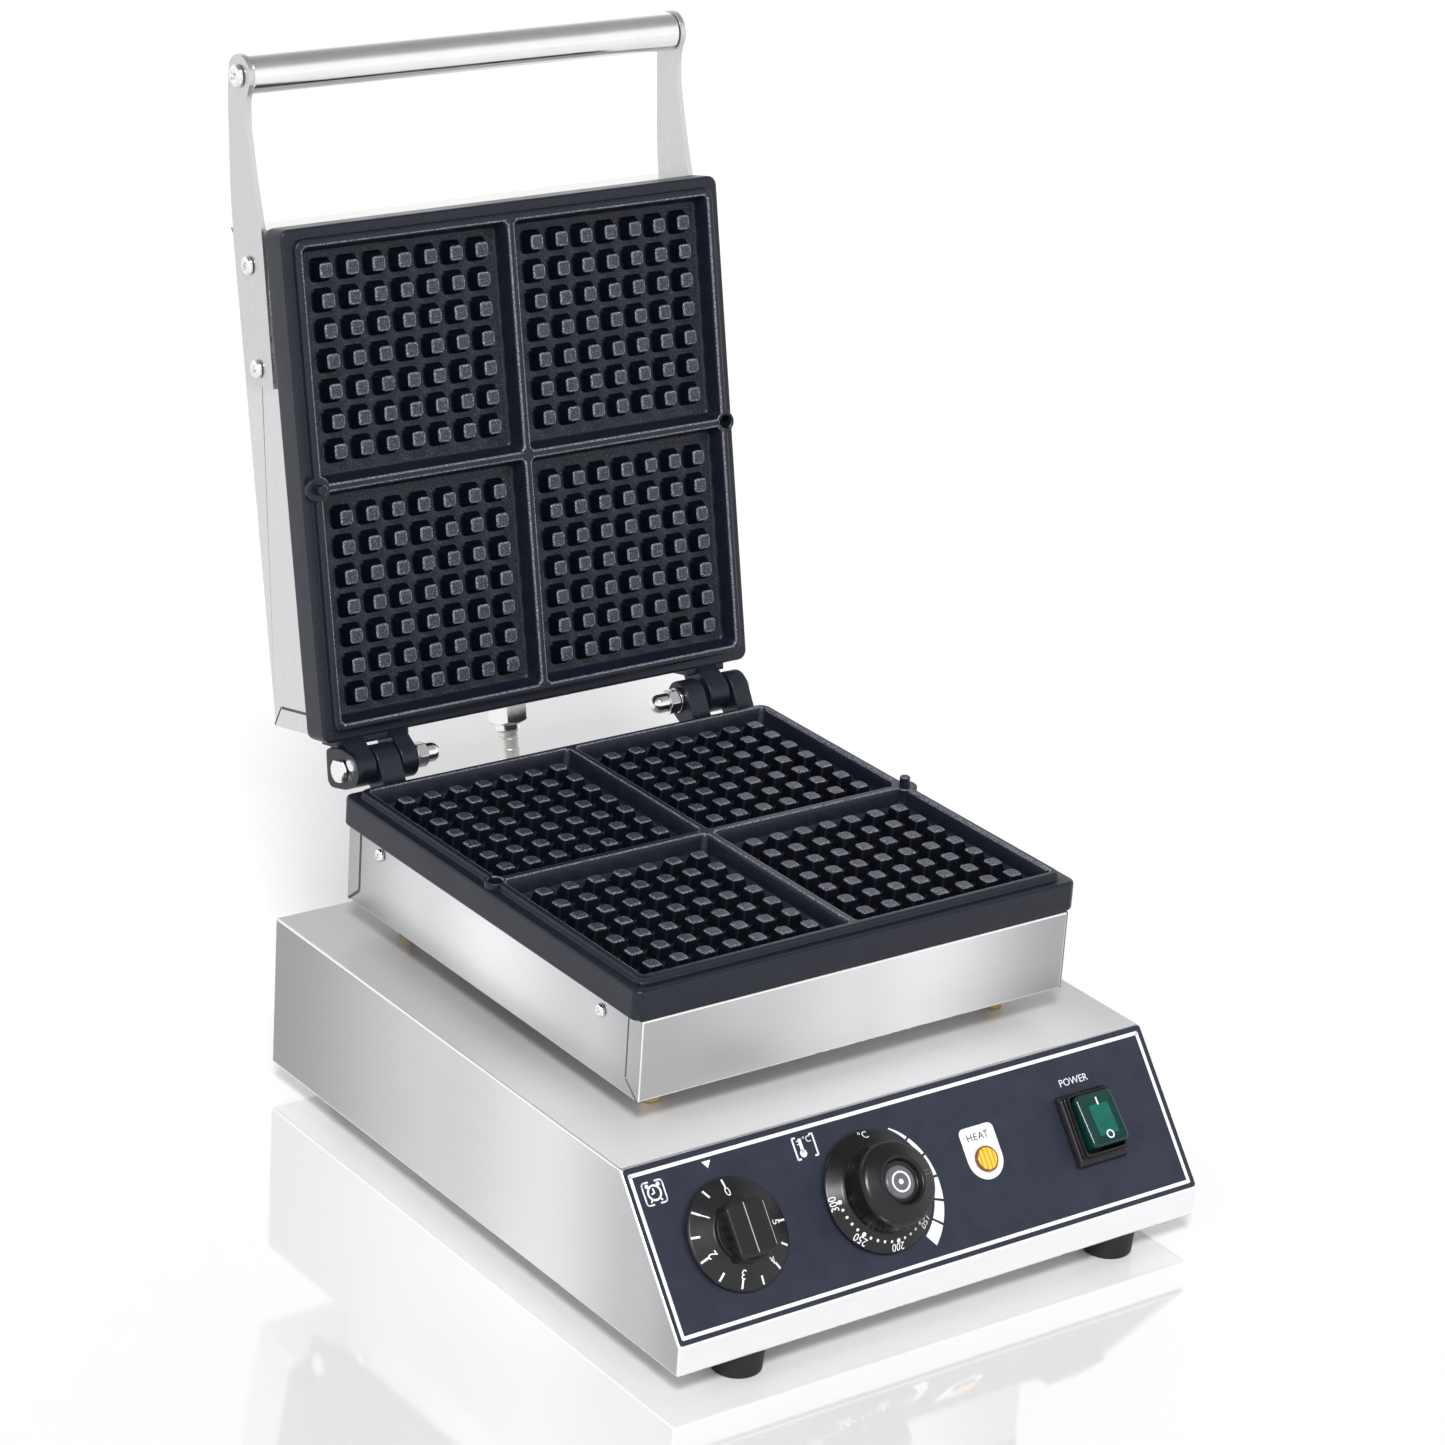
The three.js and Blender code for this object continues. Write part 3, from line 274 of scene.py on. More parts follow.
# A brighter steel for the rounded sheet edges: a painted highlight.
EDGE_HIGHLIGHT_STEEL = polished_steel("steel_edge_painted_highlight", (0.97, 0.97, 0.97), 0.3)
BRIGHT = polished_steel("polished_steel", (0.85, 0.85, 0.85), 0.13)
SATIN = polished_steel("satin_steel", (0.78, 0.76, 0.72), 0.36)
SHEATH = brushed_steel("element_sheath", (0.3, 0.29, 0.28), 0.45, (900, 900, 900))
BRASS = polished_steel("yellow_brass", (0.78, 0.55, 0.22), 0.25)
NONSTICK = nonstick("nonstick_coating", (0.0062, 0.008, 0.0158), (0.07, 0.077, 0.1), 0.35, 0.34)
# The coatings below are painted light and shade on the one coating: darker for pin sides, painted shade; lighter
# for pin tops and cell floors, painted light; bright speckled edges, a painted highlight.
COATING_PAINTED_SHADE = nonstick("nonstick_pin_sides_painted_shade", (0.002, 0.0027, 0.0058), (0.03, 0.032, 0.042), 0.45, 0.1, 0.66)
COATING_FLOOR_PAINTED_LIGHT = nonstick(
    "nonstick_cell_floors_painted_light", (0.0105, 0.0125, 0.0225), (0.15, 0.16, 0.2), 0.42, 0.27, 0.55,
)
COATING_PAINTED_LIGHT = nonstick("nonstick_pin_tops_painted_light", (0.015, 0.018, 0.031), (0.23, 0.245, 0.3), 0.38, 0.38, 0.51)
# Bright speckled coating on the slanted edges of pins, ribs and rim: a painted highlight.
COATING_PAINTED_HIGHLIGHT = nonstick("nonstick_edges_painted_highlight", (0.036, 0.041, 0.06), (0.5, 0.52, 0.6), 0.28, 0.6, 0.44)
FINE, SMOOTH = 0.00001, 0.000005
NAVY = plastic("navy_panel", (0.017, 0.02, 0.036), (0.023, 0.027, 0.047), 0.42, FINE, Specular_IOR_Level=0.3)
BLACK = plastic("black_plastic", (0.008, 0.008, 0.009), (0.013, 0.013, 0.014), 0.36, Specular_IOR_Level=0.34)
GLOSS_BLACK = plastic(
    "gloss_black_plastic", (0.006, 0.006, 0.007), (0.009, 0.009, 0.01), 0.26, FINE, Specular_IOR_Level=0.36,
)
RUBBER = plastic(
    "black_rubber", (0.008, 0.008, 0.009), (0.015, 0.015, 0.016), 0.6, 0.00008, Specular_IOR_Level=0.3,
)
GREY_PLASTIC = plastic("grey_plastic", (0.2, 0.2, 0.21), (0.27, 0.27, 0.28), 0.5)
# The grey of the dial's cap, also used for a painted highlight along the pointer groove's rims.
CAP_GREY_AND_GROOVE_HIGHLIGHT = plastic("dial_cap_grey_and_groove_highlight", (0.1, 0.1, 0.115), (0.13, 0.13, 0.145), 0.3)
WHITE_INK = plastic("white_ink", (0.78, 0.79, 0.82), (0.88, 0.89, 0.92), 0.5, SMOOTH)
# A grey for the timer's pointer line and for a painted highlight along the bar's right top edge.
POINTER_AND_HIGHLIGHT_GREY = plastic("pointer_and_highlight_grey", (0.32, 0.32, 0.33), (0.4, 0.4, 0.41), 0.45, SMOOTH)
DARK_INK = plastic("dark_ink", (0.02, 0.02, 0.03), (0.03, 0.03, 0.04), 0.5, SMOOTH)
GREEN = plastic(
    "green_rocker", (0.001, 0.03, 0.026), (0.0015, 0.04, 0.033), 0.2, SMOOTH, Specular_IOR_Level=0.35,
)
GREEN_LIT = plastic(
    "green_window", (0.003, 0.1, 0.072), (0.004, 0.13, 0.09), 0.24, SMOOTH, Specular_IOR_Level=0.35,
)
AMBER = ribbed_amber()
AMBER_RIM = plastic("amber_rim", (0.16, 0.05, 0.006), (0.24, 0.08, 0.01), 0.3)
# A dark colour for strips of painted shadow in the gaps at the folded sheet ends.
SEAM_SHADOW = plastic("seam_shadow", (0.05, 0.05, 0.055), (0.08, 0.08, 0.085), 0.6)
WOOL = wool()

SLOT_MATERIALS = {
    "brushed_stainless": BASE_STEEL, "bright_steel": BRIGHT, "nonstick_casting": NONSTICK, "navy_panel": NAVY,
    "black_plastic": BLACK, "black_rubber": RUBBER, "brass": BRASS, "green_plastic": GREEN,
    "amber_plastic": AMBER, "grey_plastic": GREY_PLASTIC, "element_sheath": SHEATH, "insulation_wool": WOOL,
}
NODE_SLOTS = {entry["node"]: entry["material_slot"] for entry in frame["record"]["subparts"]}
NODE_BODIES = {node: body for body, nodes in frame["record"]["behaviour"]["bodies"].items() for node in nodes}


# ---- mesh kit -----------------------------------------------------------------------------------------
def circle(radius, height=0.0, count=32, centre=(0, 0)):
    x, y = centre
    turns = [TAU * i / count for i in range(count)]
    return [(x + radius * math.cos(a), y + radius * math.sin(a), height) for a in turns]


def rounded_box(half_x, half_y, radius, height=0.0, centre=(0, 0), steps=3):
    """A rectangle with round corners, counter-clockwise."""
    radius = min(radius, half_x, half_y)
    corners = [(half_x, half_y, 0), (-half_x, half_y, 1), (-half_x, -half_y, 2), (half_x, -half_y, 3)]
    points = []
    for x, y, turn in corners:
        cx = x - math.copysign(radius, x)
        cy = y - math.copysign(radius, y)
        for k in range(steps + 1):
            angle = (turn + k / steps) * math.pi / 2
            points.append((
                centre[0] + cx + radius * math.cos(angle), centre[1] + cy + radius * math.sin(angle), height,
            ))
    return points


def softened(points, radius, steps=4, closed=False):
    """A polyline with each corner turned into a small curve."""
    count = len(points)
    out = []
    for i, point in enumerate(points):
        if not closed and i in (0, count - 1):
            out.append(tuple(point))
            continue
        here, before, after = Vector(point), Vector(points[i - 1]), Vector(points[(i + 1) % count])
        back, ahead = before - here, after - here
        start = here + back.normalized() * min(radius, 0.45 * back.length)
        end = here + ahead.normalized() * min(radius, 0.45 * ahead.length)
        for k in range(steps + 1):
            t = k / steps
            out.append(tuple((1 - t) ** 2 * start + 2 * t * (1 - t) * here + t * t * end))
    return out


def inset(outline, distance):
    """A counter-clockwise convex outline moved inwards."""
    count = len(outline)
    out = []
    for i in range(count):
        before, here, after = (Vector(outline[(i + k) % count][:2]) for k in (-1, 0, 1))
        first = (here - before).normalized()
        second = (after - here).normalized()
        inward = Vector((-(first.y + second.y), first.x + second.x)).normalized()
        lean = max(0.5, inward.dot(Vector((-first.y, first.x))))
        out.append(tuple(here + inward * (distance / lean)))
    return out


def mesh_from(bm, name):
    mesh = bpy.data.meshes.new(name)
    bm.to_mesh(mesh)
    bm.free()
    return mesh


class Form:
    """Points and faces of one closed shape or several, in millimetres."""

    def __init__(self):
        self.points = []
        self.faces = []

    def add(self, points, faces):
        start = len(self.points)
        self.points += [Vector(p) for p in points]
        self.faces += [[start + i for i in face] for face in faces]
        return self

    def loft(self, rings, caps=(True, True)):
        count = len(rings[0])
        faces = []
        for k in range(len(rings) - 1):
            low, high = k * count, (k + 1) * count
            for i in range(count):
                j = (i + 1) % count
                faces.append([low + i, low + j, high + j, high + i])
        if caps[0]:
            faces.append(list(reversed(range(count))))
        if caps[1]:
            faces.append([(len(rings) - 1) * count + i for i in range(count)])
        return self.add([p for ring in rings for p in ring], faces)

    def lathe(self, profile, count=48, round_off=0.0, steps=4):
        """A body of revolution around +Z from (radius, height) points."""
        if round_off:
            profile = softened(profile, round_off, steps)
        start, end = profile[0][0] < 1e-6, profile[-1][0] < 1e-6
        trimmed = profile[int(start):len(profile) - int(end)]
        return self.loft([circle(r, h, count) for r, h in trimmed])

    def slab(self, outline, low, high, edge=0.3, steps=2):
        """A convex outline raised from low to high, its two rims rounded by edge."""
        rings = []
        for level, inward, shares in ((low, 1, range(steps + 1)), (high, -1, range(steps, -1, -1))):
            for k in shares:
                angle = k / steps * math.pi / 2
                ring = inset(outline, edge * (1 - math.sin(angle)))
                rings.append([(x, y, level + inward * edge * (1 - math.cos(angle))) for x, y in ring])
        return self.loft(rings)

    def merge(self, other, place=Matrix.Identity(4)):
        return self.add([place @ p for p in other.points], other.faces)

    def moved(self, place):
        return Form().merge(self, place)

    def at(self, spot):
        return self.moved(Matrix.Translation(spot))

    def mesh(self, name):
        bm = bmesh.new()
        verts = [bm.verts.new(p) for p in self.points]
        for face in self.faces:
            bm.faces.new([verts[i] for i in face])
        bmesh.ops.recalc_face_normals(bm, faces=bm.faces)
        return mesh_from(bm, name)


def cylinder(radius, low, high, count=40, round_off=0.4):
    return Form().lathe([(0, low), (radius, low), (radius, high), (0, high)], count, round_off)


def form_of(mesh):
    return Form().add([v.co for v in mesh.vertices], [list(p.vertices) for p in mesh.polygons])


def along_x(at=0.0, y=0.0, z=0.0, side=1):
    """Turns a shape made along +Z to run along X, outwards on the given side."""
    turn = Matrix.Rotation(side * math.pi / 2, 4, "Y")
    return Matrix.Translation((at, y, z)) @ turn


# Maps an outline's (y, z) to the housing's Y and Z, with its height along +X.
PROFILE_TO_X = Matrix(((0, 0, 1, 0), (1, 0, 0, 0), (0, 1, 0, 0), (0, 0, 0, 1)))


def scratch_object(name, mesh):
    thing = bpy.data.objects.new(name, mesh)
    bpy.context.scene.collection.objects.link(thing)
    return thing


def shown_mesh(thing):
    """The mesh that a scratch object shows; the object itself is removed."""
    graph = bpy.context.evaluated_depsgraph_get()
    mesh = bpy.data.meshes.new_from_object(thing.evaluated_get(graph))
    bpy.data.objects.remove(thing)
    return mesh


def carved(name, body, *steps):
    """The body's mesh after boolean steps, each an operation and the form it takes."""
    thing = scratch_object(name, body.mesh(name))
    tools = []
    for operation, form in steps:
        tools.append(scratch_object("tool", form.mesh("tool")))
        modifier = thing.modifiers.new("carve", "BOOLEAN")
        modifier.operation = operation
        modifier.solver = "MANIFOLD"
        modifier.object = tools[-1]
    mesh = shown_mesh(thing)
    for tool in tools:
        bpy.data.objects.remove(tool)
    return mesh


def piece(name, shape, place, looks, node=None, slot=None, body="base", sharp=38.0):
    """One shown piece, smooth shaded except at sharp edges.

    It stands for a CAD node, whose body it takes, or it is an extra with its own body; its slot is not used.
    """
    mesh = shape.mesh(name) if isinstance(shape, Form) else shape
    mesh.transform(place)
    mesh.polygons.foreach_set("use_smooth", [True] * len(mesh.polygons))
    mesh.set_sharp_from_angle(angle=math.radians(sharp))
    numbers = [polygon.material_index for polygon in mesh.polygons]
    mesh.materials.clear()
    for look in (looks if isinstance(looks, tuple) else (looks,)):
        mesh.materials.append(look)
    mesh.polygons.foreach_set("material_index", numbers)
    thing = scratch_object(name, mesh)
    weighted = thing.modifiers.new("even_normals", "WEIGHTED_NORMAL")
    weighted.keep_sharp = True
    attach(thing, NODE_BODIES[node] if node else body)
    if node:
        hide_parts(node)


def refined(node, looks, width=0.8):
    """A copy of a CAD node's mesh with rounded edges in a brighter steel, a painted highlight, which stands for
    that node.

    looks holds the materials of the level faces, the edges, the side faces, the front and the top; the side, front
    and top materials are lit and shaded copies of one steel.
    """
    bm = bmesh.new()
    bm.from_mesh(frame["nodes"][node].data)
    bmesh.ops.remove_doubles(bm, verts=bm.verts, dist=1e-6)
    bmesh.ops.dissolve_limit(bm, angle_limit=math.radians(1), verts=bm.verts, edges=bm.edges)
    edges = [e for e in bm.edges if e.is_manifold and e.calc_face_angle(0) > math.radians(30)]
    # The rounded edges take the second material, a painted highlight.
    bmesh.ops.bevel(
        bm, geom=edges, offset=width * MM, segments=3, profile=0.5, affect="EDGES", clamp_overlap=False,
        material=1,
    )
    bm.normal_update()
    inward = LID.to_3x3().inverted() if NODE_BODIES[node] == "lid" else Matrix.Identity(3)
    for face in bm.faces:
        normal = (inward @ face.normal).normalized()
        if face.material_index == 0:
            steep = (abs(normal.x), -normal.y, normal.z)
            face.material_index = next((i + 2 for i, share in enumerate(steep) if share > 0.8), 0)
    piece(node + "_finished", mesh_from(bm, node + "_finished"), Matrix.Identity(4), looks, node)


# ---- conduit hose -------------------------------------------------------------------------------------
HOSE_RADIUS = 4.5
HOSE_ROUTE = [
    (0, 170.8, 107.8), (0, 169.6, 101), (1.2, 170.6, 92), (4.4, 175.5, 82.6), (9.2, 184, 74),
    (14.6, 194, 67.6), (21, 204.4, 62.6), (29, 213.4, 58.4), (39, 219.6, 54.6), (50, 222, 51),
    (61.4, 220.6, 47.6), (71.6, 215.4, 44.6), (80, 207.4, 42), (86.4, 197.4, 39.8), (90.4, 186, 38.5),
    (92, 175, 38), (92, 166, 38),
]
HOSE_PITCH = 1.9


def smooth_route(points, spacing):
    """Evenly spaced points on a Catmull-Rom curve with centripetal spacing."""
    nodes = [Vector(p) for p in points]
    nodes = [2 * nodes[0] - nodes[1], *nodes, 2 * nodes[-1] - nodes[-2]]
    fine = []
    for i in range(1, len(nodes) - 2):
        p0, p1, p2, p3 = nodes[i - 1:i + 3]
        t0 = 0.0
        t1 = t0 + (p1 - p0).length ** 0.5
        t2 = t1 + (p2 - p1).length ** 0.5
        t3 = t2 + (p3 - p2).length ** 0.5
        for k in range(16):
            t = t1 + (t2 - t1) * k / 16
            a1 = (t1 - t) / (t1 - t0) * p0 + (t - t0) / (t1 - t0) * p1
            a2 = (t2 - t) / (t2 - t1) * p1 + (t - t1) / (t2 - t1) * p2
            a3 = (t3 - t) / (t3 - t2) * p2 + (t - t2) / (t3 - t2) * p3
            b1 = (t2 - t) / (t2 - t0) * a1 + (t - t0) / (t2 - t0) * a2
            b2 = (t3 - t) / (t3 - t1) * a2 + (t - t1) / (t3 - t1) * a3
            fine.append((t2 - t) / (t2 - t1) * b1 + (t - t1) / (t2 - t1) * b2)
    fine.append(nodes[-2])
    length = sum((b - a).length for a, b in zip(fine, fine[1:]))
    steps = round(length / spacing)
    out = [fine[0]]
    walked = 0.0
    for a, b in zip(fine, fine[1:]):
        step = (b - a).length
        while len(out) < steps and walked + step >= len(out) * length / steps:
            share = (len(out) * length / steps - walked) / step
            out.append(a.lerp(b, share))
        walked += step
    out.append(fine[-1])
    return out, length


def conduit_hose():
    """Interlocked steel hose: a tube whose radius rises and falls once a turn."""
    per_turn = 6
    line, length = smooth_route(HOSE_ROUTE, HOSE_PITCH / per_turn)
    form = Form()
    rings = []
    normal = Vector((1, 0, 0))
    for i, point in enumerate(line):
        ahead = (line[min(i + 1, len(line) - 1)] - line[max(i - 1, 0)]).normalized()
        normal = (normal - ahead * normal.dot(ahead)).normalized()
        side = ahead.cross(normal)
        wave = 0.5 + 0.5 * math.cos(TAU * i / per_turn)
        radius = HOSE_RADIUS - 0.55 * (1 - wave ** 0.5)
        rings.append([point + normal * (x * radius) + side * (y * radius) for x, y, _ in circle(1, 0, 20)])
    form.loft(rings)
    mesh = form.mesh("conduit_hose_corrugated")
    mesh.transform(HOUSING)
    mesh.polygons.foreach_set("use_smooth", [True] * len(mesh.polygons))
    mesh.materials.append(BRIGHT)
    hose = scratch_object("conduit_hose_corrugated", mesh)
    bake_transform(hose)
    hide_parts("conduit_hose")


conduit_hose()


# ---- waffle plates ------------------------------------------------------------------------------------
PLATE = {"half_x": 109.8, "half_y": 107.75, "centre_y": 24.44, "corner": 4.0}
RIM = {"half_x": 105.2, "half_y": 103.0, "height": 3.0, "wall": 3.5, "corner": 4.0}
RIB, CELL_DEPTH, DRAFT, FLOOR, WALL = 4.1, 8.0, 1.85, 4.0, 3.5
LOWER_SHELF, UPPER_SHELF, LOWER_SKIRT, UPPER_SKIRT = 127.4, 133.7, 13.0, 14.3
PIN = {"first": 13.93, "pitch_x": 12.7, "pitch_y": 12.55, "base": 8.9, "top": 6.2, "height": 5.9}
PINS_PER_ROW = 7
POST_X, SOCKET_X = 103.7, -104.2
KNUCKLE_RADIUS, WALL_Y = 8.3, 131
LOWER_KNUCKLES, LOWER_WEB = ((-90, -78.9), (69.8, 79.4), (94, 103)), (116.5, 127.2)


def plate_blank(skirt):
    """Skirt, shelf and rim, the shelf at height 0, hollow underneath."""
    def ring(half_x, half_y, corner, height):
        return rounded_box(half_x, half_y, corner, height, steps=4)

    px, py, pc = PLATE["half_x"], PLATE["half_y"], PLATE["corner"]
    rx, ry, rc = RIM["half_x"], RIM["half_y"], RIM["corner"]
    under = RIM["height"] - CELL_DEPTH - FLOOR
    outside = softened(
        [(-WALL, under, 0), (-WALL, -skirt, 0), (0, -skirt, 0), (0, 0, 0), (rx - px, 0, 0)], 1.5, 4,
    )
    rings = []
    for offset, height, _ in outside[:-1]:
        rings.append(ring(px + offset, py + offset, max(1.0, pc + offset * 0.5), height))
    fillet = 0.9
    for offset, height in ((fillet, 0.0), (0.3, 0.25), (0.0, fillet)):
        rings.append(ring(rx + offset, ry + offset, rc, height))
    crown = 1.1
    for k in range(4):
        angle = k / 3 * math.pi / 2
        drop = crown * (1 - math.cos(angle))
        height = RIM["height"] - crown * (1 - math.sin(angle))
        rings.append(ring(rx - drop, ry - drop, rc, height))
    return Form().loft(rings)


def cell_cutter(sign_x, sign_y):
    """The space of one waffle cell, flared at its mouth and rounded at its foot."""
    near = RIB / 2
    far_x, far_y = RIM["half_x"] - RIM["wall"], RIM["half_y"] - RIM["wall"]
    half_x, half_y = (far_x - near) / 2, (far_y - near) / 2
    centre = (sign_x * (near + half_x), sign_y * (near + half_y))
    top, foot = RIM["height"], RIM["height"] - CELL_DEPTH
    walls = [
        (-1.6, top + 0.6), (-1.15, top), (-0.75, top - 0.12), (-0.35, top - 0.42), (0.0, top - 1.1),
        (0.3, top - 2.2), (DRAFT - 0.5, foot + 1.4), (DRAFT - 0.1, foot + 0.5), (DRAFT + 0.45, foot + 0.1),
        (DRAFT + 1.1, foot),
    ]
    return Form().loft([
        rounded_box(half_x - shrink, half_y - shrink, 2.4, height, centre, 4)
        for shrink, height in reversed(walls)
    ])


def pin_form(x, y):
    foot = RIM["height"] - CELL_DEPTH
    rise, base, top = PIN["height"], PIN["base"], PIN["top"]
    levels = [
        (-0.6, base + 1.4, 2.2), (0.02, base + 1.3, 2.2), (0.28, base + 0.45, 1.7), (0.9, base - 0.45, 1.5),
        (rise - 1.15, top + 0.45, 1.35), (rise - 0.5, top + 0.0, 1.4), (rise - 0.14, top - 0.65, 1.3),
        (rise, top - 1.6, 1.1),
    ]
    rings = [
        rounded_box(width / 2, width / 2, corner, foot + level, (x, y), 3) for level, width, corner in levels
    ]
    return Form().loft(rings)


# Lit and shaded copies of the one nonstick coating, picked for each face of the plates by its slant and height.
COATING_LOOKS = (NONSTICK, COATING_PAINTED_SHADE, COATING_PAINTED_LIGHT, COATING_PAINTED_HIGHLIGHT, COATING_FLOOR_PAINTED_LIGHT)
PLAIN, SHADED_PIN_SIDE, LIT_PIN_TOP, HIGHLIT_EDGE, LIT_CELL_FLOOR = range(len(COATING_LOOKS))


def among_pins(value, pitch):
    """Whether a coordinate lies within the field of pins of its cell."""
    return PIN["first"] - 0.55 * pitch < abs(value) < PIN["first"] + (PINS_PER_ROW - 0.45) * pitch


def painted_light_faces(mesh, foot):
    """Numbers the faces for painted light and shade on the coating, in the order of COATING_LOOKS: painted shade
    on pin sides, painted light on pin tops and cell floors, a painted highlight on slanted edges round pin tops
    and rims.
    """
    crown = foot + PIN["height"]
    for polygon in mesh.polygons:
        (x, y, height), slant = polygon.center, abs(polygon.normal.z)
        inside = max(abs(x) - RIM["half_x"], abs(y) - RIM["half_y"]) < -RIM["wall"] * 0.4
        look = PLAIN
        # Pin tops take painted light, pin sides painted shade, and slanted faces round pin tops and rims a painted
        # highlight; cell floors take painted light.
        if inside and crown - 0.75 < height < crown + 0.1:
            look = LIT_PIN_TOP if slant > 0.97 else HIGHLIT_EDGE if slant > 0.35 else SHADED_PIN_SIDE
        elif inside and height > RIM["height"] - 0.7 and 0.2 < slant < 0.97:
            look = HIGHLIT_EDGE
        elif inside and foot - 0.05 <= height <= RIM["height"] - 0.3:
            beside = among_pins(x, PIN["pitch_x"]) and among_pins(y, PIN["pitch_y"])
            look = LIT_CELL_FLOOR if slant > 0.9 else SHADED_PIN_SIDE if beside else PLAIN
        polygon.material_index = look


def casting(name, skirt):
    """One plate, face up: four cells of square pins, a rim, and a post and a socket on the middle line."""
    rim, foot = RIM["height"], RIM["height"] - CELL_DEPTH
    cells = Form()
    pins = Form()
    for sign_x in (-1, 1):
        for sign_y in (-1, 1):
            cells.merge(cell_cutter(sign_x, sign_y))
            for column in range(PINS_PER_ROW):
                for row in range(PINS_PER_ROW):
                    x = sign_x * (PIN["first"] + column * PIN["pitch_x"])
                    y = sign_y * (PIN["first"] + row * PIN["pitch_y"])
                    pins.merge(pin_form(x, y))
    post = cylinder(5.5, foot - 1, rim, 40, 0.8).merge(cylinder(2.25, rim - 1, rim + 4, 32, 0.8))
    boss = cylinder(4.6, foot - 1, rim, 40, 0.7)
    hole = Form().lathe([
        (0, rim - 5.5), (3.0, rim - 5.5), (3.0, rim - 0.5), (3.9, rim + 0.3), (0, rim + 0.3),
    ], 40)
    socket = (SOCKET_X, 0, 0)
    shell = form_of(carved(name, plate_blank(skirt), ("DIFFERENCE", cells)))
    joined = [("UNION", form) for form in (pins, post.at((POST_X, 0, 0)), boss.at(socket))]
    mesh = carved(name, shell, *joined, ("DIFFERENCE", hole.at(socket)))
    painted_light_faces(mesh, foot)
    return mesh


def knuckle_outline(low, high):
    """The web's tangents from the rear wall and the round knuckle, as (y, z), counter-clockwise."""
    points = [(WALL_Y, low)]
    angles = []
    for z, turn in ((low, 1), (high, -1)):
        dy, dz = WALL_Y - HINGE_Y, z - HINGE_Z
        angles.append(math.atan2(dz, dy) + turn * math.acos(KNUCKLE_RADIUS / math.hypot(dy, dz)))
    start, end = angles
    while end < start:
        end += TAU
    for k in range(25):
        angle = start + (end - start) * k / 24
        y, z = KNUCKLE_RADIUS * math.cos(angle), KNUCKLE_RADIUS * math.sin(angle)
        points.append((HINGE_Y + y, HINGE_Z + z))
    points.append((WALL_Y, high))
    return points


def knuckle(x0, x1, low, high):
    return Form().slab(knuckle_outline(low, high), x0, x1, 0.7, 3).moved(PROFILE_TO_X)


def lower_plate():
    mesh = casting("lower_plate_nonstick", LOWER_SKIRT)
    mesh.transform(Matrix.Translation((0, PLATE["centre_y"], LOWER_SHELF)))
    piece("lower_plate_nonstick", mesh, HOUSING, COATING_LOOKS, "lower_plate", sharp=32)
    knuckles = Form()
    for x0, x1 in LOWER_KNUCKLES:
        knuckles.merge(knuckle(x0, x1, *LOWER_WEB))
    piece("lower_hinge_knuckles", knuckles, HOUSING, NONSTICK, slot="nonstick_casting")


UPPER_KNUCKLES, UPPER_WEB = ((-100.9, -90.7), (-78.2, -69.8), (82, 92.5)), (134.5, 147)
UPPER_PAD_SPANS = ((-103.3, -68), (77, 97))
UPPER_PAD = [(130.5, 134.1), (134.9, 134.1), (134.9, 147.4), (130.5, 147.4)]
EAR_SPAN = (-103.3, -101)
# The ear's outline around the hinge axis, as (y, z) with the lid closed.
EAR_OUTLINE = [
    (-8, 12), (-9.4, -0.3), (-7.1, -11), (-0.7, -14.3), (4.9, -11.6), (8.3, -1.5), (8.8, 10.2), (6.2, 12.9),
]


def upper_plate():
    mesh = casting("upper_plate_nonstick", UPPER_SKIRT)
    flip = Matrix.Translation((0, PLATE["centre_y"], UPPER_SHELF)) @ Matrix.Rotation(math.pi, 4, "Y")
    mesh.transform(flip)
    piece("upper_plate_nonstick", mesh, LID, COATING_LOOKS, "upper_plate", sharp=32)
    knuckles = Form()
    for x0, x1 in UPPER_KNUCKLES:
        knuckles.merge(knuckle(x0, x1, *UPPER_WEB))
    ear = softened([(HINGE_Y + y, HINGE_Z + z) for y, z in EAR_OUTLINE], 2.5, 4, True)
    knuckles.merge(Form().slab(ear, *EAR_SPAN, 0.5).moved(PROFILE_TO_X))
    pad = softened(UPPER_PAD, 1.0, 3, True)
    for x0, x1 in UPPER_PAD_SPANS:
        knuckles.merge(Form().slab(pad, x0, x1, 0.6).moved(PROFILE_TO_X))
    piece("upper_hinge_knuckles", knuckles, LID, NONSTICK, slot="nonstick_casting", body="lid")


# ---- fasteners ----------------------------------------------------------------------------------------
def pan_head(radius, height, cross=0.62):
    """A domed head with a cross recess, its seat at height 0 and its top up +Z."""
    profile = [(0, 0), (radius, 0), (radius, height * 0.32), (radius * 0.86, height * 0.72), (0, height)]
    head = Form().lathe(softened(profile, radius * 0.3, 4), 32)

    def ring(half_x, half_y, level):
        return [(x * half_x, y * half_y, level) for x, y in ((1, 1), (-1, 1), (-1, -1), (1, -1))]

    reach, width = radius * cross, radius * 0.17
    arm = Form().loft([ring(reach * 0.35, width * 0.5, height * 0.25), ring(reach, width, height * 1.1)])
    turned = arm.moved(Matrix.Rotation(math.pi / 2, 4, "Z"))
    return carved("pan_head", head, ("DIFFERENCE", arm), ("DIFFERENCE", turned))


def side_screw(node, radius, height, face, y, z, place, turn):
    side = 1 if node.endswith("right") else -1
    mesh = pan_head(radius, height)
    mesh.transform(along_x(side * face, y, z, side) @ Matrix.Rotation(turn, 4, "Z"))
    piece(node + "_head", mesh, place, BRIGHT, node)


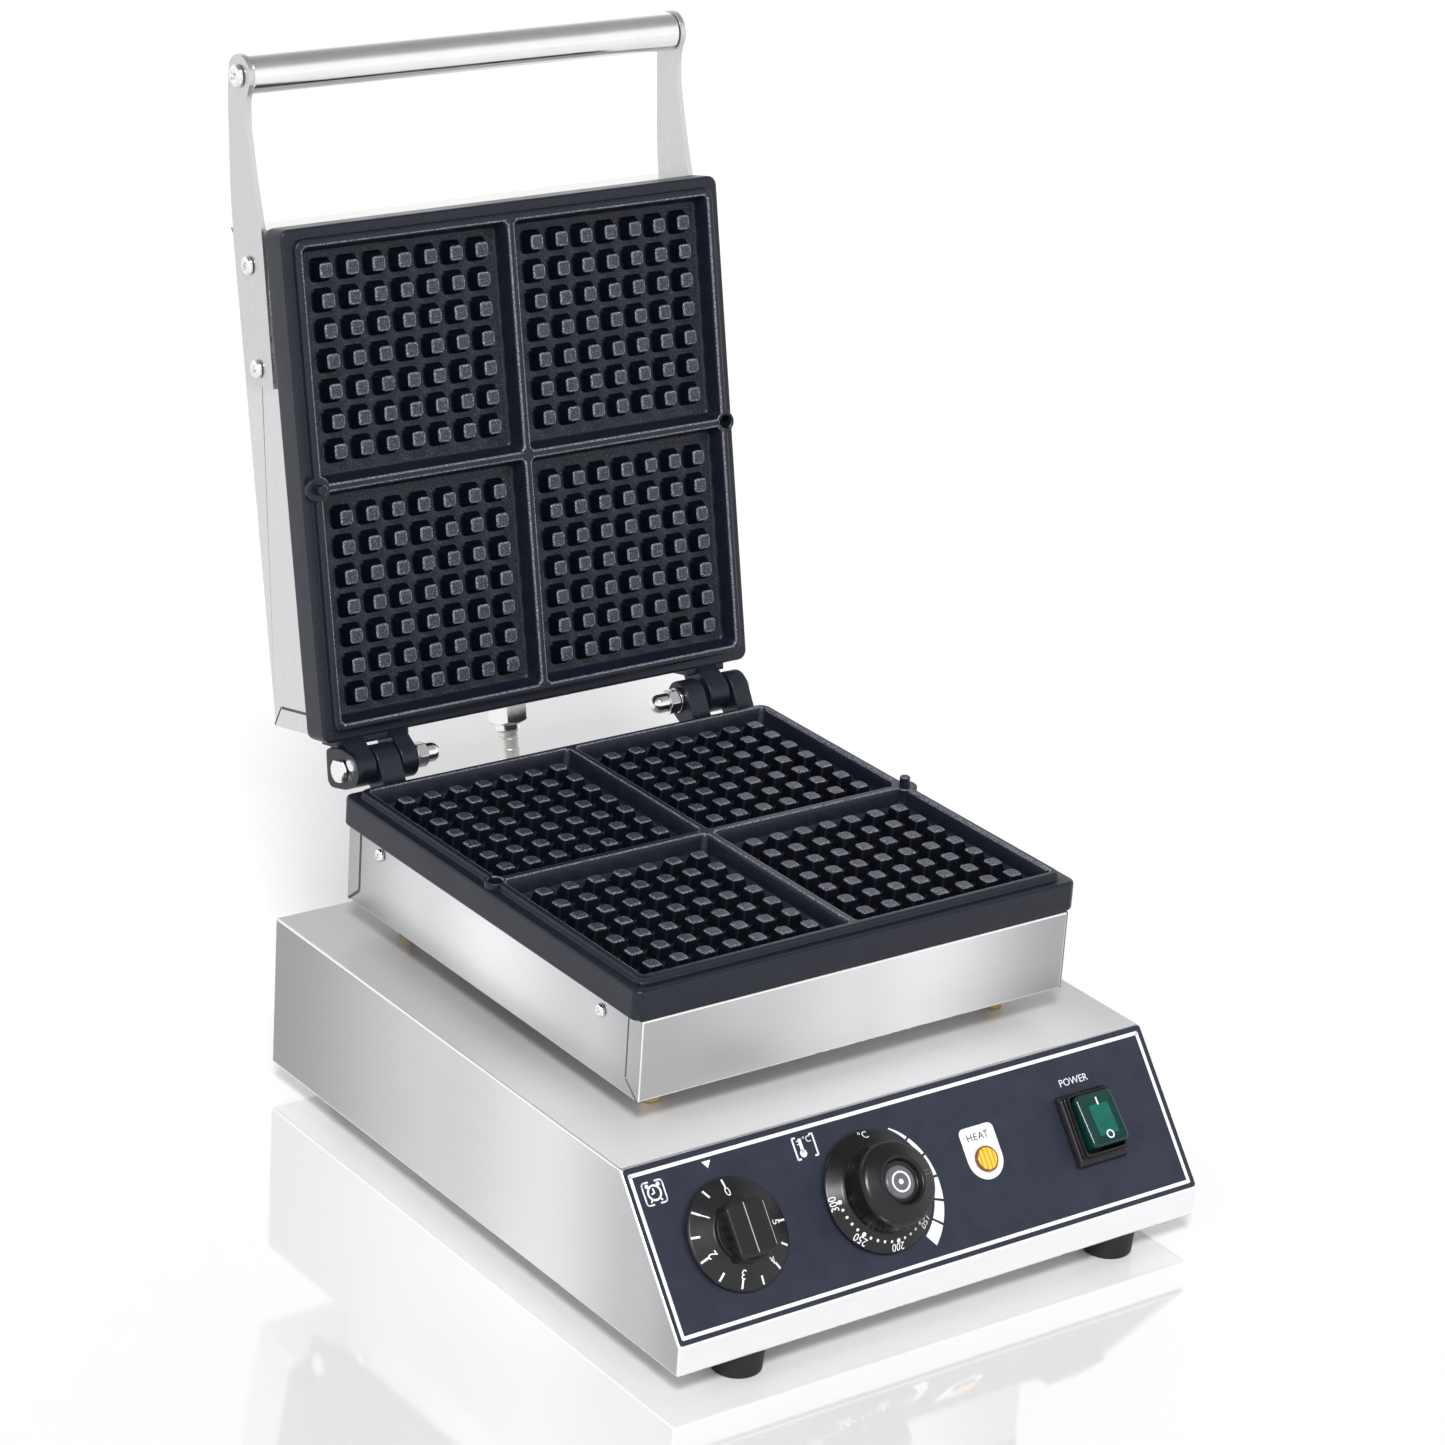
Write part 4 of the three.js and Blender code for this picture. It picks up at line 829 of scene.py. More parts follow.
def hex_mesh(flats, low, high, chamfer=0.5):
    """A hexagon along +Z whose corners are turned off at both ends by a cone."""
    radius = flats / math.sqrt(3)
    outline = [(x, y) for x, y, _ in circle(radius, 0, 6)]
    blank = Form().slab(softened(outline, 0.3, 1, True), low, high, 0.12, 1)
    cone = Form().lathe([
        (0, low - 0.01), (flats / 2 - 0.1, low - 0.01), (radius + 0.1, low + chamfer),
        (radius + 0.1, high - chamfer), (flats / 2 - 0.1, high + 0.01), (0, high + 0.01),
    ], 48)
    return carved("hex", blank, ("INTERSECT", cone))


BOLT_FLATS, BOLT_HEAD, GAP = 9.2, 2.4, 0.3
WASHER = {"radius": 5.6, "bore": 3.0, "thickness": 1.3}
HOSE_FLATS, HOSE_OUTLET, FERRULE_START = 17, (0, 130.6, 163.7), 18.8
NUT = {"flats": 10, "hex": 5, "dome": 4.3, "neck": 8.6, "tip": 12.6}


def hinge_hardware(label, side, outer, inner):
    head = hex_mesh(BOLT_FLATS, 0, BOLT_HEAD, 0.7)
    head.transform(along_x(side * (outer + GAP), HINGE_Y, HINGE_Z, side))
    piece(f"hinge_bolt_head_{label}", head, LID, BRIGHT, f"hinge_bolt_{label}")
    washer_face, radius, thick = inner - GAP, WASHER["radius"], WASHER["thickness"]
    disc = Form().lathe([(WASHER["bore"], 0), (radius, 0), (radius, thick), (WASHER["bore"], thick)], 40, 0.2)
    disc = disc.moved(along_x(side * washer_face, HINGE_Y, HINGE_Z, -side))
    piece(f"hinge_washer_{label}_turned", disc, LID, BRIGHT, f"hinge_washer_{label}")
    nut = form_of(hex_mesh(NUT["flats"], 0, NUT["hex"], 0.7))
    dome = []
    for k in range(9):
        angle = k / 8 * math.pi / 2
        rise = (NUT["tip"] - NUT["neck"]) * math.sin(angle)
        dome.append((NUT["dome"] * math.cos(angle), NUT["neck"] + rise))
    foot = [(0, 4), (NUT["dome"] - 0.5, 4), (NUT["dome"] - 0.5, 5.0), (NUT["dome"], 5.4)]
    nut.merge(Form().lathe([*foot, *dome], 40))
    nut = nut.moved(along_x(side * (washer_face - thick - GAP), HINGE_Y, HINGE_Z, -side))
    piece(f"hinge_nut_{label}_domed", nut, LID, BRIGHT, f"hinge_nut_{label}")


def hose_fittings():
    """The hexagon, collar and crimped ferrule on the lid, and the gland in the back panel."""
    toward_back = Matrix.Rotation(-math.pi / 2, 4, "X")
    gland = form_of(hex_mesh(HOSE_FLATS, GAP, 14.5, 1.2)).merge(cylinder(5.5, 14, 18.5))
    gland.merge(Form().lathe([(0, 10), (7.4, 10), (7.4, 15.3), (5.8, 15.3), (0, 15.4)], 40, 0.4))
    on_lid = LID @ Matrix.Translation(HOSE_OUTLET) @ toward_back
    piece("hose_gland_lid_turned", gland, on_lid, BRIGHT, "hose_gland_lid")
    sleeve = [(4.85, 0), (4.85, 2), (4.55, 2.4), (4.55, 3), (4.85, 3.4), (4.85, 7.8), (5.1, 8), (5.1, 11.7)]
    sleeve = Form().lathe([(r, FERRULE_START + h) for r, h in [(0, 0), *sleeve, (0, 11.7)]], 40, 0.25)
    piece("hose_ferrule_crimped", sleeve, on_lid, SATIN, "hose_ferrule")
    low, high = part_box("hose_gland_base")
    seat = Matrix.Translation(((low.x + high.x) / 2, low.y + 5 * MM, (low.z + high.z) / 2))
    outlet = form_of(hex_mesh(HOSE_FLATS, GAP, 8, 1.0)).merge(cylinder(5.6, 7.5, 16, 40, 0.5))
    place = seat @ Matrix.Scale(MM, 4) @ toward_back
    piece("hose_gland_base_turned", outlet, place, BRIGHT, "hose_gland_base")


# ---- handle, tray, housing ----------------------------------------------------------------------------
HANDLE_Y, HANDLE_Z, HANDLE_RADIUS, HANDLE_HALF = -145.6, 157.9, 8.25, 106.5
BRACKET_INNER, BRACKET_THICKNESS, EYE_RADIUS = 106.8, 2.6, 9.0
EYE_ARC = (-62, -235)
BRACKET_LOW = [(-16.6, 151.7), (-80.8, 150.3), (-90, 151.7), (-103, 153.4), (-123, 154.8)]
BRACKET_HIGH = [(-121.2, 170.6), (-94.2, 174), (-16.6, 174.2)]
LID_HALF, LID_FRONT, LID_BACK, LID_BOTTOM, LID_TOP = 106.5, -82.6, 130.6, 148.3, 180.2
TRAY_HALF, TRAY_FRONT, TRAY_BACK, TRAY_BOTTOM, TRAY_TOP = 106.3, -83, 131, 79.5, 114.1
LAP, KNEE, SEAM_WIDTH = 8.2, 7.2, 1.1
SIDES = (("left", -1), ("right", 1))


def handle_tube():
    tube = cylinder(HANDLE_RADIUS, -HANDLE_HALF, HANDLE_HALF, 96, 0.7)
    piece("handle_tube_polished", tube, LID @ along_x(0, HANDLE_Y, HANDLE_Z), BRIGHT, "handle_tube")


def bracket_profile():
    """The bracket's edge with its curves smoothed and the round eye at its end, as (y, z)."""
    lower = softened(BRACKET_LOW, 9, 5)
    upper = softened(BRACKET_HIGH, 16, 6)
    eye = []
    first, last = (math.radians(v) for v in EYE_ARC)
    for k in range(19):
        angle = first + (last - first) * k / 18
        eye.append((HANDLE_Y + EYE_RADIUS * math.cos(angle), HANDLE_Z + EYE_RADIUS * math.sin(angle)))
    neck_low = softened([lower[-1], (-135.5, 153.6), eye[0]], 6, 3)[1:-1]
    neck_high = softened([eye[-1], (-139.5, 168.4), upper[0]], 9, 4)[1:-1]
    return [*lower, *neck_low, *eye, *neck_high, *upper][::-1]


def handle_bracket(label, side):
    bm = bmesh.new()
    face = bm.faces.new([bm.verts.new((BRACKET_INNER, y, z)) for y, z in bracket_profile()])
    raised = bmesh.ops.extrude_face_region(bm, geom=[face])
    moved = [v for v in raised["geom"] if isinstance(v, bmesh.types.BMVert)]
    bmesh.ops.translate(bm, verts=moved, vec=(BRACKET_THICKNESS, 0, 0))
    bmesh.ops.recalc_face_normals(bm, faces=bm.faces)
    rims = [e for e in bm.edges if abs(e.verts[0].co.x - e.verts[1].co.x) < 0.01]
    bmesh.ops.bevel(bm, geom=rims, offset=0.35, segments=2, profile=0.5, affect="EDGES", clamp_overlap=False)
    if side < 0:
        bmesh.ops.scale(bm, vec=(-1, 1, 1), verts=bm.verts)
        bmesh.ops.reverse_faces(bm, faces=bm.faces)
    node = f"handle_bracket_{label}"
    piece(node + "_cut", mesh_from(bm, "bracket"), LID, BRACKET_STEEL, node)


def folded_lap(outline, side, half, name, place, look, body):
    """The end of one sheet folded round on to the side, with a dark strip of painted shadow for the gap where it
    stops.
    """
    area = sum(y0 * z1 - y1 * z0 for (y0, z0), (y1, z1) in zip(outline, outline[1:] + outline[:1]))
    flat = outline if area > 0 else outline[::-1]
    face = half + 0.02 if side > 0 else -half - 0.32
    lap = Form().slab(flat, face, face + 0.3, 0.14).moved(PROFILE_TO_X)
    piece(name, lap, place, look, slot="brushed_stainless", body=body)
    # A thin dark strip along the lap's open edges, just outside it: painted shadow of the gap.
    middle = sum((Vector(p) for p in outline), Vector((0, 0))) / len(outline)
    strip = half + 0.01 if side > 0 else -half - 0.09
    gap_shadow = Form()
    for (y0, z0), (y1, z1) in zip(outline[1:], outline[2:]):
        run = Vector((y1 - y0, z1 - z0)).normalized()
        across = Vector((-run.y, run.x)) * SEAM_WIDTH
        if across.dot(middle - Vector((y0, z0))) > 0:
            across = -across
        ring = [(y0, z0), (y1, z1), (y1 + across.x, z1 + across.y), (y0 + across.x, z0 + across.y)]
        gap_shadow.loft([[(y, z, level) for y, z in ring] for level in (strip, strip + 0.08)])
    piece(name + "_gap_shadow", gap_shadow.moved(PROFILE_TO_X), place, SEAM_SHADOW, slot="brushed_stainless", body=body)


def sheet_boxes():
    """Tray and lid, each with its front and rear sheets lapped round on to the sides."""
    refined("heater_tray", (TRAY_STEEL, EDGE_HIGHLIGHT_STEEL, TRAY_SIDE, TRAY_STEEL, TRAY_STEEL))
    refined("lid_housing", (LID_STEEL, EDGE_HIGHLIGHT_STEEL, LID_SIDE, LID_STEEL, LID_STEEL))
    tray = ("tray", TRAY_FRONT, TRAY_BACK, TRAY_TOP, TRAY_BOTTOM, 1, TRAY_HALF, HOUSING, TRAY_SIDE, "base")
    lid = ("lid", LID_FRONT, LID_BACK, LID_BOTTOM, LID_TOP, -1, LID_HALF, LID, LID_SIDE, "lid")
    for label, side in SIDES:
        for prefix, front, back, open_z, folded_z, up, half, place, look, body in (tray, lid):
            for end, edge, inward in (("front", front, 1), ("rear", back, -1)):
                knee = edge + inward * LAP
                outline = [
                    (edge, open_z), (edge, folded_z + up * 0.6), (knee, folded_z + up * KNEE), (knee, open_z),
                ]
                folded_lap(outline, side, half, f"{prefix}_lap_{end}_{label}", place, look, body)


def above(node, height):
    """Millimetres upright over the middle of a CAD node, counted from a height in metres."""
    low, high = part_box(node)
    return Matrix.Translation(((low.x + high.x) / 2, (low.y + high.y) / 2, height)) @ Matrix.Scale(MM, 4)


def standoff(node):
    mesh = hex_mesh(8, HEIGHT + GAP, TRAY_BOTTOM - GAP, 0.5)
    piece(node + "_hex", mesh, above(node, shell_low.z), BRASS, node)


def rubber_foot(node):
    foot = Form().lathe([(4.6, 3.6), (4.6, 0), (10.2, 0), (11, 10.9), (4.6, 10.9), (4.6, 3.6)], 64, 0.9, 5)
    piece(node + "_moulded", foot, above(node, 0), RUBBER, node)


# ---- control panel ------------------------------------------------------------------------------------
FASCIA = 0.9
INK = 0.05
TIMER = Vector((-90.5, 35, 0))
THERMOSTAT = Vector((-22.4, 35.2, 0))
INDICATOR = Vector((33, 35.4, 0))
ROCKER = Vector((87.9, 36.8, 0))
BEZEL_S, ROCKER_PIVOT, ROCKER_REST = 35.7, 4.6, math.radians(-6)
BORDER = (-127.5, 126.6, 3.2, 67.4)
TIMER_STEP = 27.05
# Degrees clockwise from the top of the thermostat dial, where each part of the growing wedge starts and ends.
WEDGE_PARTS = ((34, 52), (54, 71), (73, 90), (92, 108.6), (110.6, 126.2), (128.2, 144))


class Print:
    """Flat marks in the panel's plane, laid on a surface whose height is given for each point."""

    def __init__(self, height):
        self.height = height
        self.form = Form()

    def patch(self, outline):
        low = [(x, y, self.height(x, y) - 0.02) for x, y in outline]
        high = [(x, y, self.height(x, y) + INK) for x, y in outline]
        self.form.loft([low, high])

    def stroke(self, points, width):
        for a, b in zip(points, points[1:]):
            start, end = Vector(a[:2]), Vector(b[:2])
            along = (end - start).normalized() * (width / 2)
            across = Vector((-along.y, along.x))
            near, far = start - along * 0.5, end + along * 0.5
            self.patch([near - across, far - across, far + across, near + across])

    def bar(self, points, width):
        a, b = Vector(points[0]), Vector(points[1])
        across = Vector((a.y - b.y, b.x - a.x)).normalized() * (width / 2)
        self.patch([a - across, b - across, b + across, a + across])

    def disc(self, centre, radius, count=14):
        self.patch([(x, y) for x, y, _ in circle(radius, 0, count, centre)])

    def band(self, centre, inner, outer, start, end, steps=16):
        """A ring segment between two angles clockwise from the top; inner and outer take the angle."""
        for k in range(steps):
            angles = [start + (end - start) * (k + j) / steps for j in (0, 1)]
            corners = []
            for radius, order in ((inner, angles), (outer, angles[::-1])):
                for angle in order:
                    r, turn = radius(angle), math.radians(angle)
                    corners.append((centre[0] + r * math.sin(turn), centre[1] + r * math.cos(turn)))
            self.patch(corners[::-1])

    def ring(self, centre, inner, outer, steps):
        self.band(centre, lambda a: inner, lambda a: outer, 0, 360, steps)

    def text(self, words, size, place):
        """Words centred on the origin of place, a 2-D placement given as a 4x4 matrix."""
        curve = bpy.data.curves.new("words", "FONT")
        curve.body = words
        curve.size = size
        curve.align_x = "CENTER"
        curve.align_y = "CENTER"
        curve.resolution_u = 3
        mesh = shown_mesh(scratch_object("words", curve))
        for polygon in mesh.polygons:
            self.patch([(place @ mesh.vertices[i].co)[:2] for i in polygon.vertices])

    def piece(self, name, material, slot, body="base"):
        piece(name, self.form, PANEL, material, slot=slot, body=body)


def dial_place(centre, radius, angle):
    """Where a mark sits at an angle clockwise from the top, its own top turned outwards."""
    turn = math.radians(angle)
    spot = Vector((centre.x + radius * math.sin(turn), centre.y + radius * math.cos(turn), 0))
    return Matrix.Translation(spot) @ Matrix.Rotation(-turn, 4, "Z")


def radial(centre, inner, outer, angle):
    turn = math.radians(angle)
    direction = Vector((math.sin(turn), math.cos(turn)))
    return [centre.xy + direction * inner, centre.xy + direction * outer]


def clock_mark(ink):
    """Alarm clock between rounded brackets."""
    clock = Vector((-119.2, 59.0))
    for side in (-1, 1):
        bracket = [(1.6, 4.5), (4.7, 4.5), (4.7, -4.4), (1.6, -4.4)]
        ink.stroke(softened([clock + Vector((side * x, y)) for x, y in bracket], 1.6, 5), 0.65)
        ink.disc(clock + Vector((side * 2.6, 3.0)), 0.85)
        ink.stroke([clock + Vector((side * 1.7, -2.2)), clock + Vector((side * 2.5, -3.3))], 0.7)
    ink.ring(clock, 2.45, 3.25, 30)
    ink.stroke([clock + Vector((-0.2, 1.6)), clock, clock + Vector((-1.2, -0.3))], 0.65)


def thermometer_mark(ink):
    """Thermometer and degrees between square brackets."""
    middle = Vector((-47.2, 60.0))
    for side in (-1, 1):
        bracket = [(3.5, 4.3), (4.9, 4.3), (4.9, -4.3), (3.5, -4.3)]
        ink.stroke([middle + Vector((side * x, y)) for x, y in bracket], 0.75)
    stem = middle + Vector((-1.6, 0))
    ink.stroke([stem + Vector((0, -1.6)), stem + Vector((0, 3.3))], 1.5)
    ink.disc(stem + Vector((0, -2.3)), 1.6, 18)
    for height in (2.9, 1.6):
        ink.stroke([stem + Vector((-1.6, height)), stem + Vector((-1.0, height))], 0.4)
    ink.text("°C", 3.6, Matrix.Translation((middle.x + 1.7, middle.y + 2.6, 0)))


def panel_print():
    ink = Print(lambda x, y: FASCIA)
    x0, x1, y0, y1 = BORDER
    corners = [(x0, y0), (x1, y0), (x1, y1), (x0, y1), (x0, y0)]
    for a, b in zip(corners, corners[1:]):
        ink.stroke([a, b], 1.5)
    ink.patch([(-94.9, 65.3), (-92.8, 62.4), (-90.7, 65.3)])
    clock_mark(ink)
    thermometer_mark(ink)
    for start, end in WEDGE_PARTS:
        ink.band(THERMOSTAT, lambda a: 27.1, lambda a: 27.65 + (a - 34) * 0.048, start, end, 6)
    ink.text("POWER", 4.3, Matrix.Translation((87.6, 55.8, 0)))
    ink.piece("panel_print", WHITE_INK, "navy_panel")

    label = Print(lambda x, y: FASCIA)
    half, corner, top, centre_s = 8.7, 2.6, 49.4, 35.9
    arcs = [
        (INDICATOR.x, centre_s, half, 2, 4, 25), (INDICATOR.x + half - corner, top - corner, corner, 0, 1, 7),
        (INDICATOR.x - half + corner, top - corner, corner, 1, 2, 7),
    ]
    outline = []
    for x, y, radius, first, last, count in arcs:
        for k in range(count):
            turn = (first + (last - first) * k / (count - 1)) * math.pi / 2
            outline.append((x + radius * math.cos(turn), y + radius * math.sin(turn)))
    label.patch(outline)
    label.piece("heat_label", WHITE_INK, "navy_panel")
    words = Print(lambda x, y: FASCIA + INK)
    for letter, x in zip("HEAT", (-4.2, -1.35, 1.45, 4.1)):
        words.text(letter, 4.2, Matrix.Translation((INDICATOR.x + x, 45.0, 0)))
    words.piece("heat_word", DARK_INK, "navy_panel")


def cone(centre, outer, inner):
    """The height of a cone between (radius, height) outer and inner around centre."""
    def height(x, y):
        r = math.hypot(x - centre.x, y - centre.y)
        share = (outer[0] - r) / (outer[0] - inner[0])
        return outer[1] + (inner[1] - outer[1]) * share
    return height


def timer_dial():
    under, edge, radius, foot_radius, foot, hub_top, top = 2.3, 3.4, 22.5, 12.4, 6.4, 8.6, 14.3
    skirt = Form().lathe([
        (0, under), (radius, under), (radius, edge - 0.7), (radius - 0.7, edge), (foot_radius + 0.5, foot),
        (foot_radius, foot + 0.3), (foot_radius, hub_top), (0, hub_top),
    ], 96, 0.5, 4)
    half_x, half_y = 9.3, 11.2
    levels = [
        (foot - 1, 0.0), (top - 1.3, 0.25), (top - 0.75, 0.36), (top - 0.3, 0.62), (top - 0.08, 0.98),
        (top, 1.5),
    ]
    bar = Form().loft([
        rounded_box(half_x - shrink, half_y - shrink, 2.5, height, steps=5) for height, shrink in levels
    ])
    for side in (-1, 1):
        for k in range(5):
            rib = rounded_box(0.32, 1.15, 0.3, 0, (side * (half_x - 0.02), -7.6 + k * 3.8), 2)
            bar.loft([[(x, s, h) for x, s, _ in rib] for h in (hub_top, top - 1.6)])
    piece("timer_knob_moulded", skirt.merge(bar).at(TIMER), PANEL, BLACK, "timer_knob")

    marks = Print(cone(TIMER, (radius - 0.7, edge), (foot_radius + 0.5, foot)))
    for k in range(11):
        angle = -k * TIMER_STEP
        marks.bar(radial(TIMER, 18.1 if k % 2 else 18.2, 21.6, angle), 0.85)
        if k % 2 == 0:
            marks.text(str(k // 2), 5.2, dial_place(TIMER, 16.2, angle))
    marks.piece("timer_scale", WHITE_INK, "black_plastic", "timer_dial")
    pointer_and_highlights = Print(lambda x, y: top)
    grip = Print(lambda x, y: top)
    # The line along the bar's middle is the pointer; the line along its right top edge is a painted highlight.
    pointer_and_highlight_lines = [(-0.8, -9.7, -0.8, 10.2, 0.5), (7.9, -8.6, 7.9, 8.8, 0.28)]
    grip_lines = [(-8.6, -8.4 + 3.2 * k, -2.4, -8.4 + 3.2 * k, 0.22) for k in range(6)]
    for ink, lines in ((pointer_and_highlights, pointer_and_highlight_lines), (grip, grip_lines)):
        for x0, y0, x1, y1, width in lines:
            ink.bar([TIMER.xy + Vector((x0, y0)), TIMER.xy + Vector((x1, y1))], width)
    pointer_and_highlights.piece("timer_pointer_and_edge_highlight", POINTER_AND_HIGHLIGHT_GREY, "black_plastic", "timer_dial")
    grip.piece("timer_grip_lines", GLOSS_BLACK, "black_plastic", "timer_dial")


def thermostat_dial():
    radius, edge, foot_radius, foot = 24.8, 3.2, 18.1, 6.0
    skirt = [
        (0, 2.3), (radius, 2.3), (radius, edge - 0.5), (radius - 0.5, edge), (foot_radius + 0.5, foot - 0.1),
        (foot_radius - 0.3, foot + 0.5),
    ]
    shoulder = softened([skirt[-1], (17.2, 18.3), (10.3, 21.0)], 2.6, 8)[1:-1]
    dish = softened([shoulder[-1], (10.3, 21.0), (9.3, 20.8), (8.3, 18.5), (7.2, 18.4)], 0.5, 3)[1:]
    knob = Form().lathe([*softened(skirt, 0.35, 3)[:-1], skirt[-1], *shoulder, *dish, (0, 18.4)], 112)
    piece("thermostat_knob_moulded", knob.at(THERMOSTAT), PANEL, GLOSS_BLACK, "thermostat_knob")
    dial = {"slot": "black_plastic", "body": "thermostat_dial"}
    cap = Form().lathe([(0, 18.2), (6.9, 18.2), (6.7, 19.0), (5.9, 19.5), (0, 19.6)], 72, 0.4)
    piece("thermostat_cap", cap.at(THERMOSTAT), PANEL, CAP_GREY_AND_GROOVE_HIGHLIGHT, **dial)

    emblem = Print(lambda x, y: 19.6)
    emblem.ring(THERMOSTAT, 3.5, 4.3, 40)
    emblem.disc(THERMOSTAT.xy, 1.1, 20)
    emblem.piece("thermostat_cap_ring", WHITE_INK, **dial)

    # Two grey lines on the rims of a pointer groove that is not modelled: a painted highlight.
    pointer_and_highlights = Print(cone(THERMOSTAT, (17.2, 18.5), (10.3, 21.0)))
    for offset in (-0.75, 0.75):
        pointer_and_highlights.bar([spot + Vector((0, offset)) for spot in radial(THERMOSTAT, 11.2, 14.8, 87)], 0.28)
    pointer_and_highlights.piece("thermostat_pointer_groove_highlight", CAP_GREY_AND_GROOVE_HIGHLIGHT, **dial)

    marks = Print(cone(THERMOSTAT, (radius - 0.5, edge), (foot_radius + 0.6, foot)))
    for k in range(16):
        marks.disc(radial(THERMOSTAT, 0, 20.6, 270 - k * 9.0)[1], 0.55 if k % 5 else 0.85)
    for k, words in enumerate(("300", "250", "200", "150")):
        marks.text(words, 4.1, dial_place(THERMOSTAT, 22.7, 270 - k * 44.6))
    marks.text("°C", 4.2, dial_place(THERMOSTAT, 22.5, 2))
    marks.piece("thermostat_scale", WHITE_INK, **dial)


def indicator():
    low, top, radius = 1.2, 3.4, 5.2
    wall = radius - 0.55
    lens = Form().lathe([
        (0, -4), (3.9, -4), (3.9, low), (radius - 0.5, low), (radius - 0.5, top - 0.9),
        (radius - 1.2, top - 0.3), (0, top),
    ], 64, 0.4)
    piece("indicator_lens_ribbed", lens.at(INDICATOR), PANEL, AMBER, "indicator_lens")
    rim = Form().lathe([
        (wall, low - 0.2), (radius, low - 0.2), (radius, top - 0.9), (radius - 0.3, top - 0.6),
        (wall, top - 0.6), (wall, low - 0.2),
    ], 64, 0.12, 2)
    piece("indicator_rim", rim.at(INDICATOR), PANEL, AMBER_RIM, slot="amber_plastic")


def power_switch():
    def stack(sections, corner, centre_s):
        """A loft of rounded rectangles, each given as (half width, half height, level)."""
        return Form().loft([rounded_box(x, s, corner, z, (ROCKER.x, centre_s), 4) for x, s, z in sections])

    flange = stack([
        (13.0, 15.1, 1.2), (13.0, 15.1, 2.1), (12.3, 14.4, 3.4), (11.9, 14.0, 3.85), (11.4, 13.5, 4.0),
    ], 1.6, BEZEL_S)
    block = stack([
        (11, 12.9, -3), (11, 12.9, 4.7), (10.75, 12.65, 4.9), (10.75, 12.65, 5.3), (11, 12.9, 5.5),
        (11, 12.9, 6.6), (10.85, 12.75, 6.9), (10.6, 12.5, 7.0),
    ], 1.5, ROCKER.y)
    cavity = stack([(10.1, 12.1, -2.4), (10.1, 12.1, 8)], 1.6, ROCKER.y)
    mesh = carved("switch_frame", flange, ("UNION", block), ("DIFFERENCE", cavity))
    piece("switch_frame_moulded", mesh, PANEL, BLACK, "switch_frame")

    half_x, half_s = 9.45, 11.2

    def dip(s):
        """How far the rocker's hollow face lies below its ends."""
        return 0.55 * (1 - (s / half_s) ** 2)

    levels = [
        (-3.2, 3.2, 0.6), (0.9, 0.3, 1.2), (5.2, 0.0, 2.1),
        (5.9, 0.14, 2.1), (6.3, 0.45, 2.0), (6.5, 0.95, 1.8),
    ]
    rings = []
    for height, shrink, corner in levels:
        outline = rounded_box(half_x - min(shrink, 1.0), half_s - shrink, corner, height, steps=5)
        rings.append([(x, s, h - (dip(s) if h > 4 else 0)) for x, s, h in outline])
    body = Form().loft(rings, (True, False))
    window = rounded_box(5.0, 6.6, 0.8, 0, (0.6, -0.6), 5)
    body.loft([rings[-1], [(x, s, 6.45 - dip(s)) for x, s, _ in window]], (False, True))
    pivot = Matrix.Translation((ROCKER.x, ROCKER.y, ROCKER_PIVOT))
    tilted = PANEL @ pivot @ Matrix.Rotation(ROCKER_REST, 4, "X")
    piece("switch_rocker_moulded", body, tilted, GREEN, "switch_rocker")
    glow = Form().loft([
        [(x, s, 6.44 - dip(s)) for x, s, _ in window],
        [(x * 0.96 + 0.03, s * 0.96, 6.5 - dip(s)) for x, s, _ in window],
    ])
    rocker = {"slot": "green_plastic", "body": "rocker"}
    piece("switch_window", glow, tilted, GREEN_LIT, **rocker)
    marks = Print(lambda x, y: 6.52 - dip(y))
    marks.bar([(0.6, 5.6), (0.6, 8.8)], 0.75)
    marks.ring((0.6, -7.3), 1.25, 1.9, 24)
    piece("switch_marks", marks.form, tilted, WHITE_INK, **rocker)


# ---- assembly -----------------------------------------------------------------------------------------
def carried_over():
    """Every CAD node gets its slot's material, whether it shows or a piece stands for it."""
    for name, node in frame["nodes"].items():
        node.data.materials.clear()
        node.data.materials.append(SLOT_MATERIALS[NODE_SLOTS[name]])


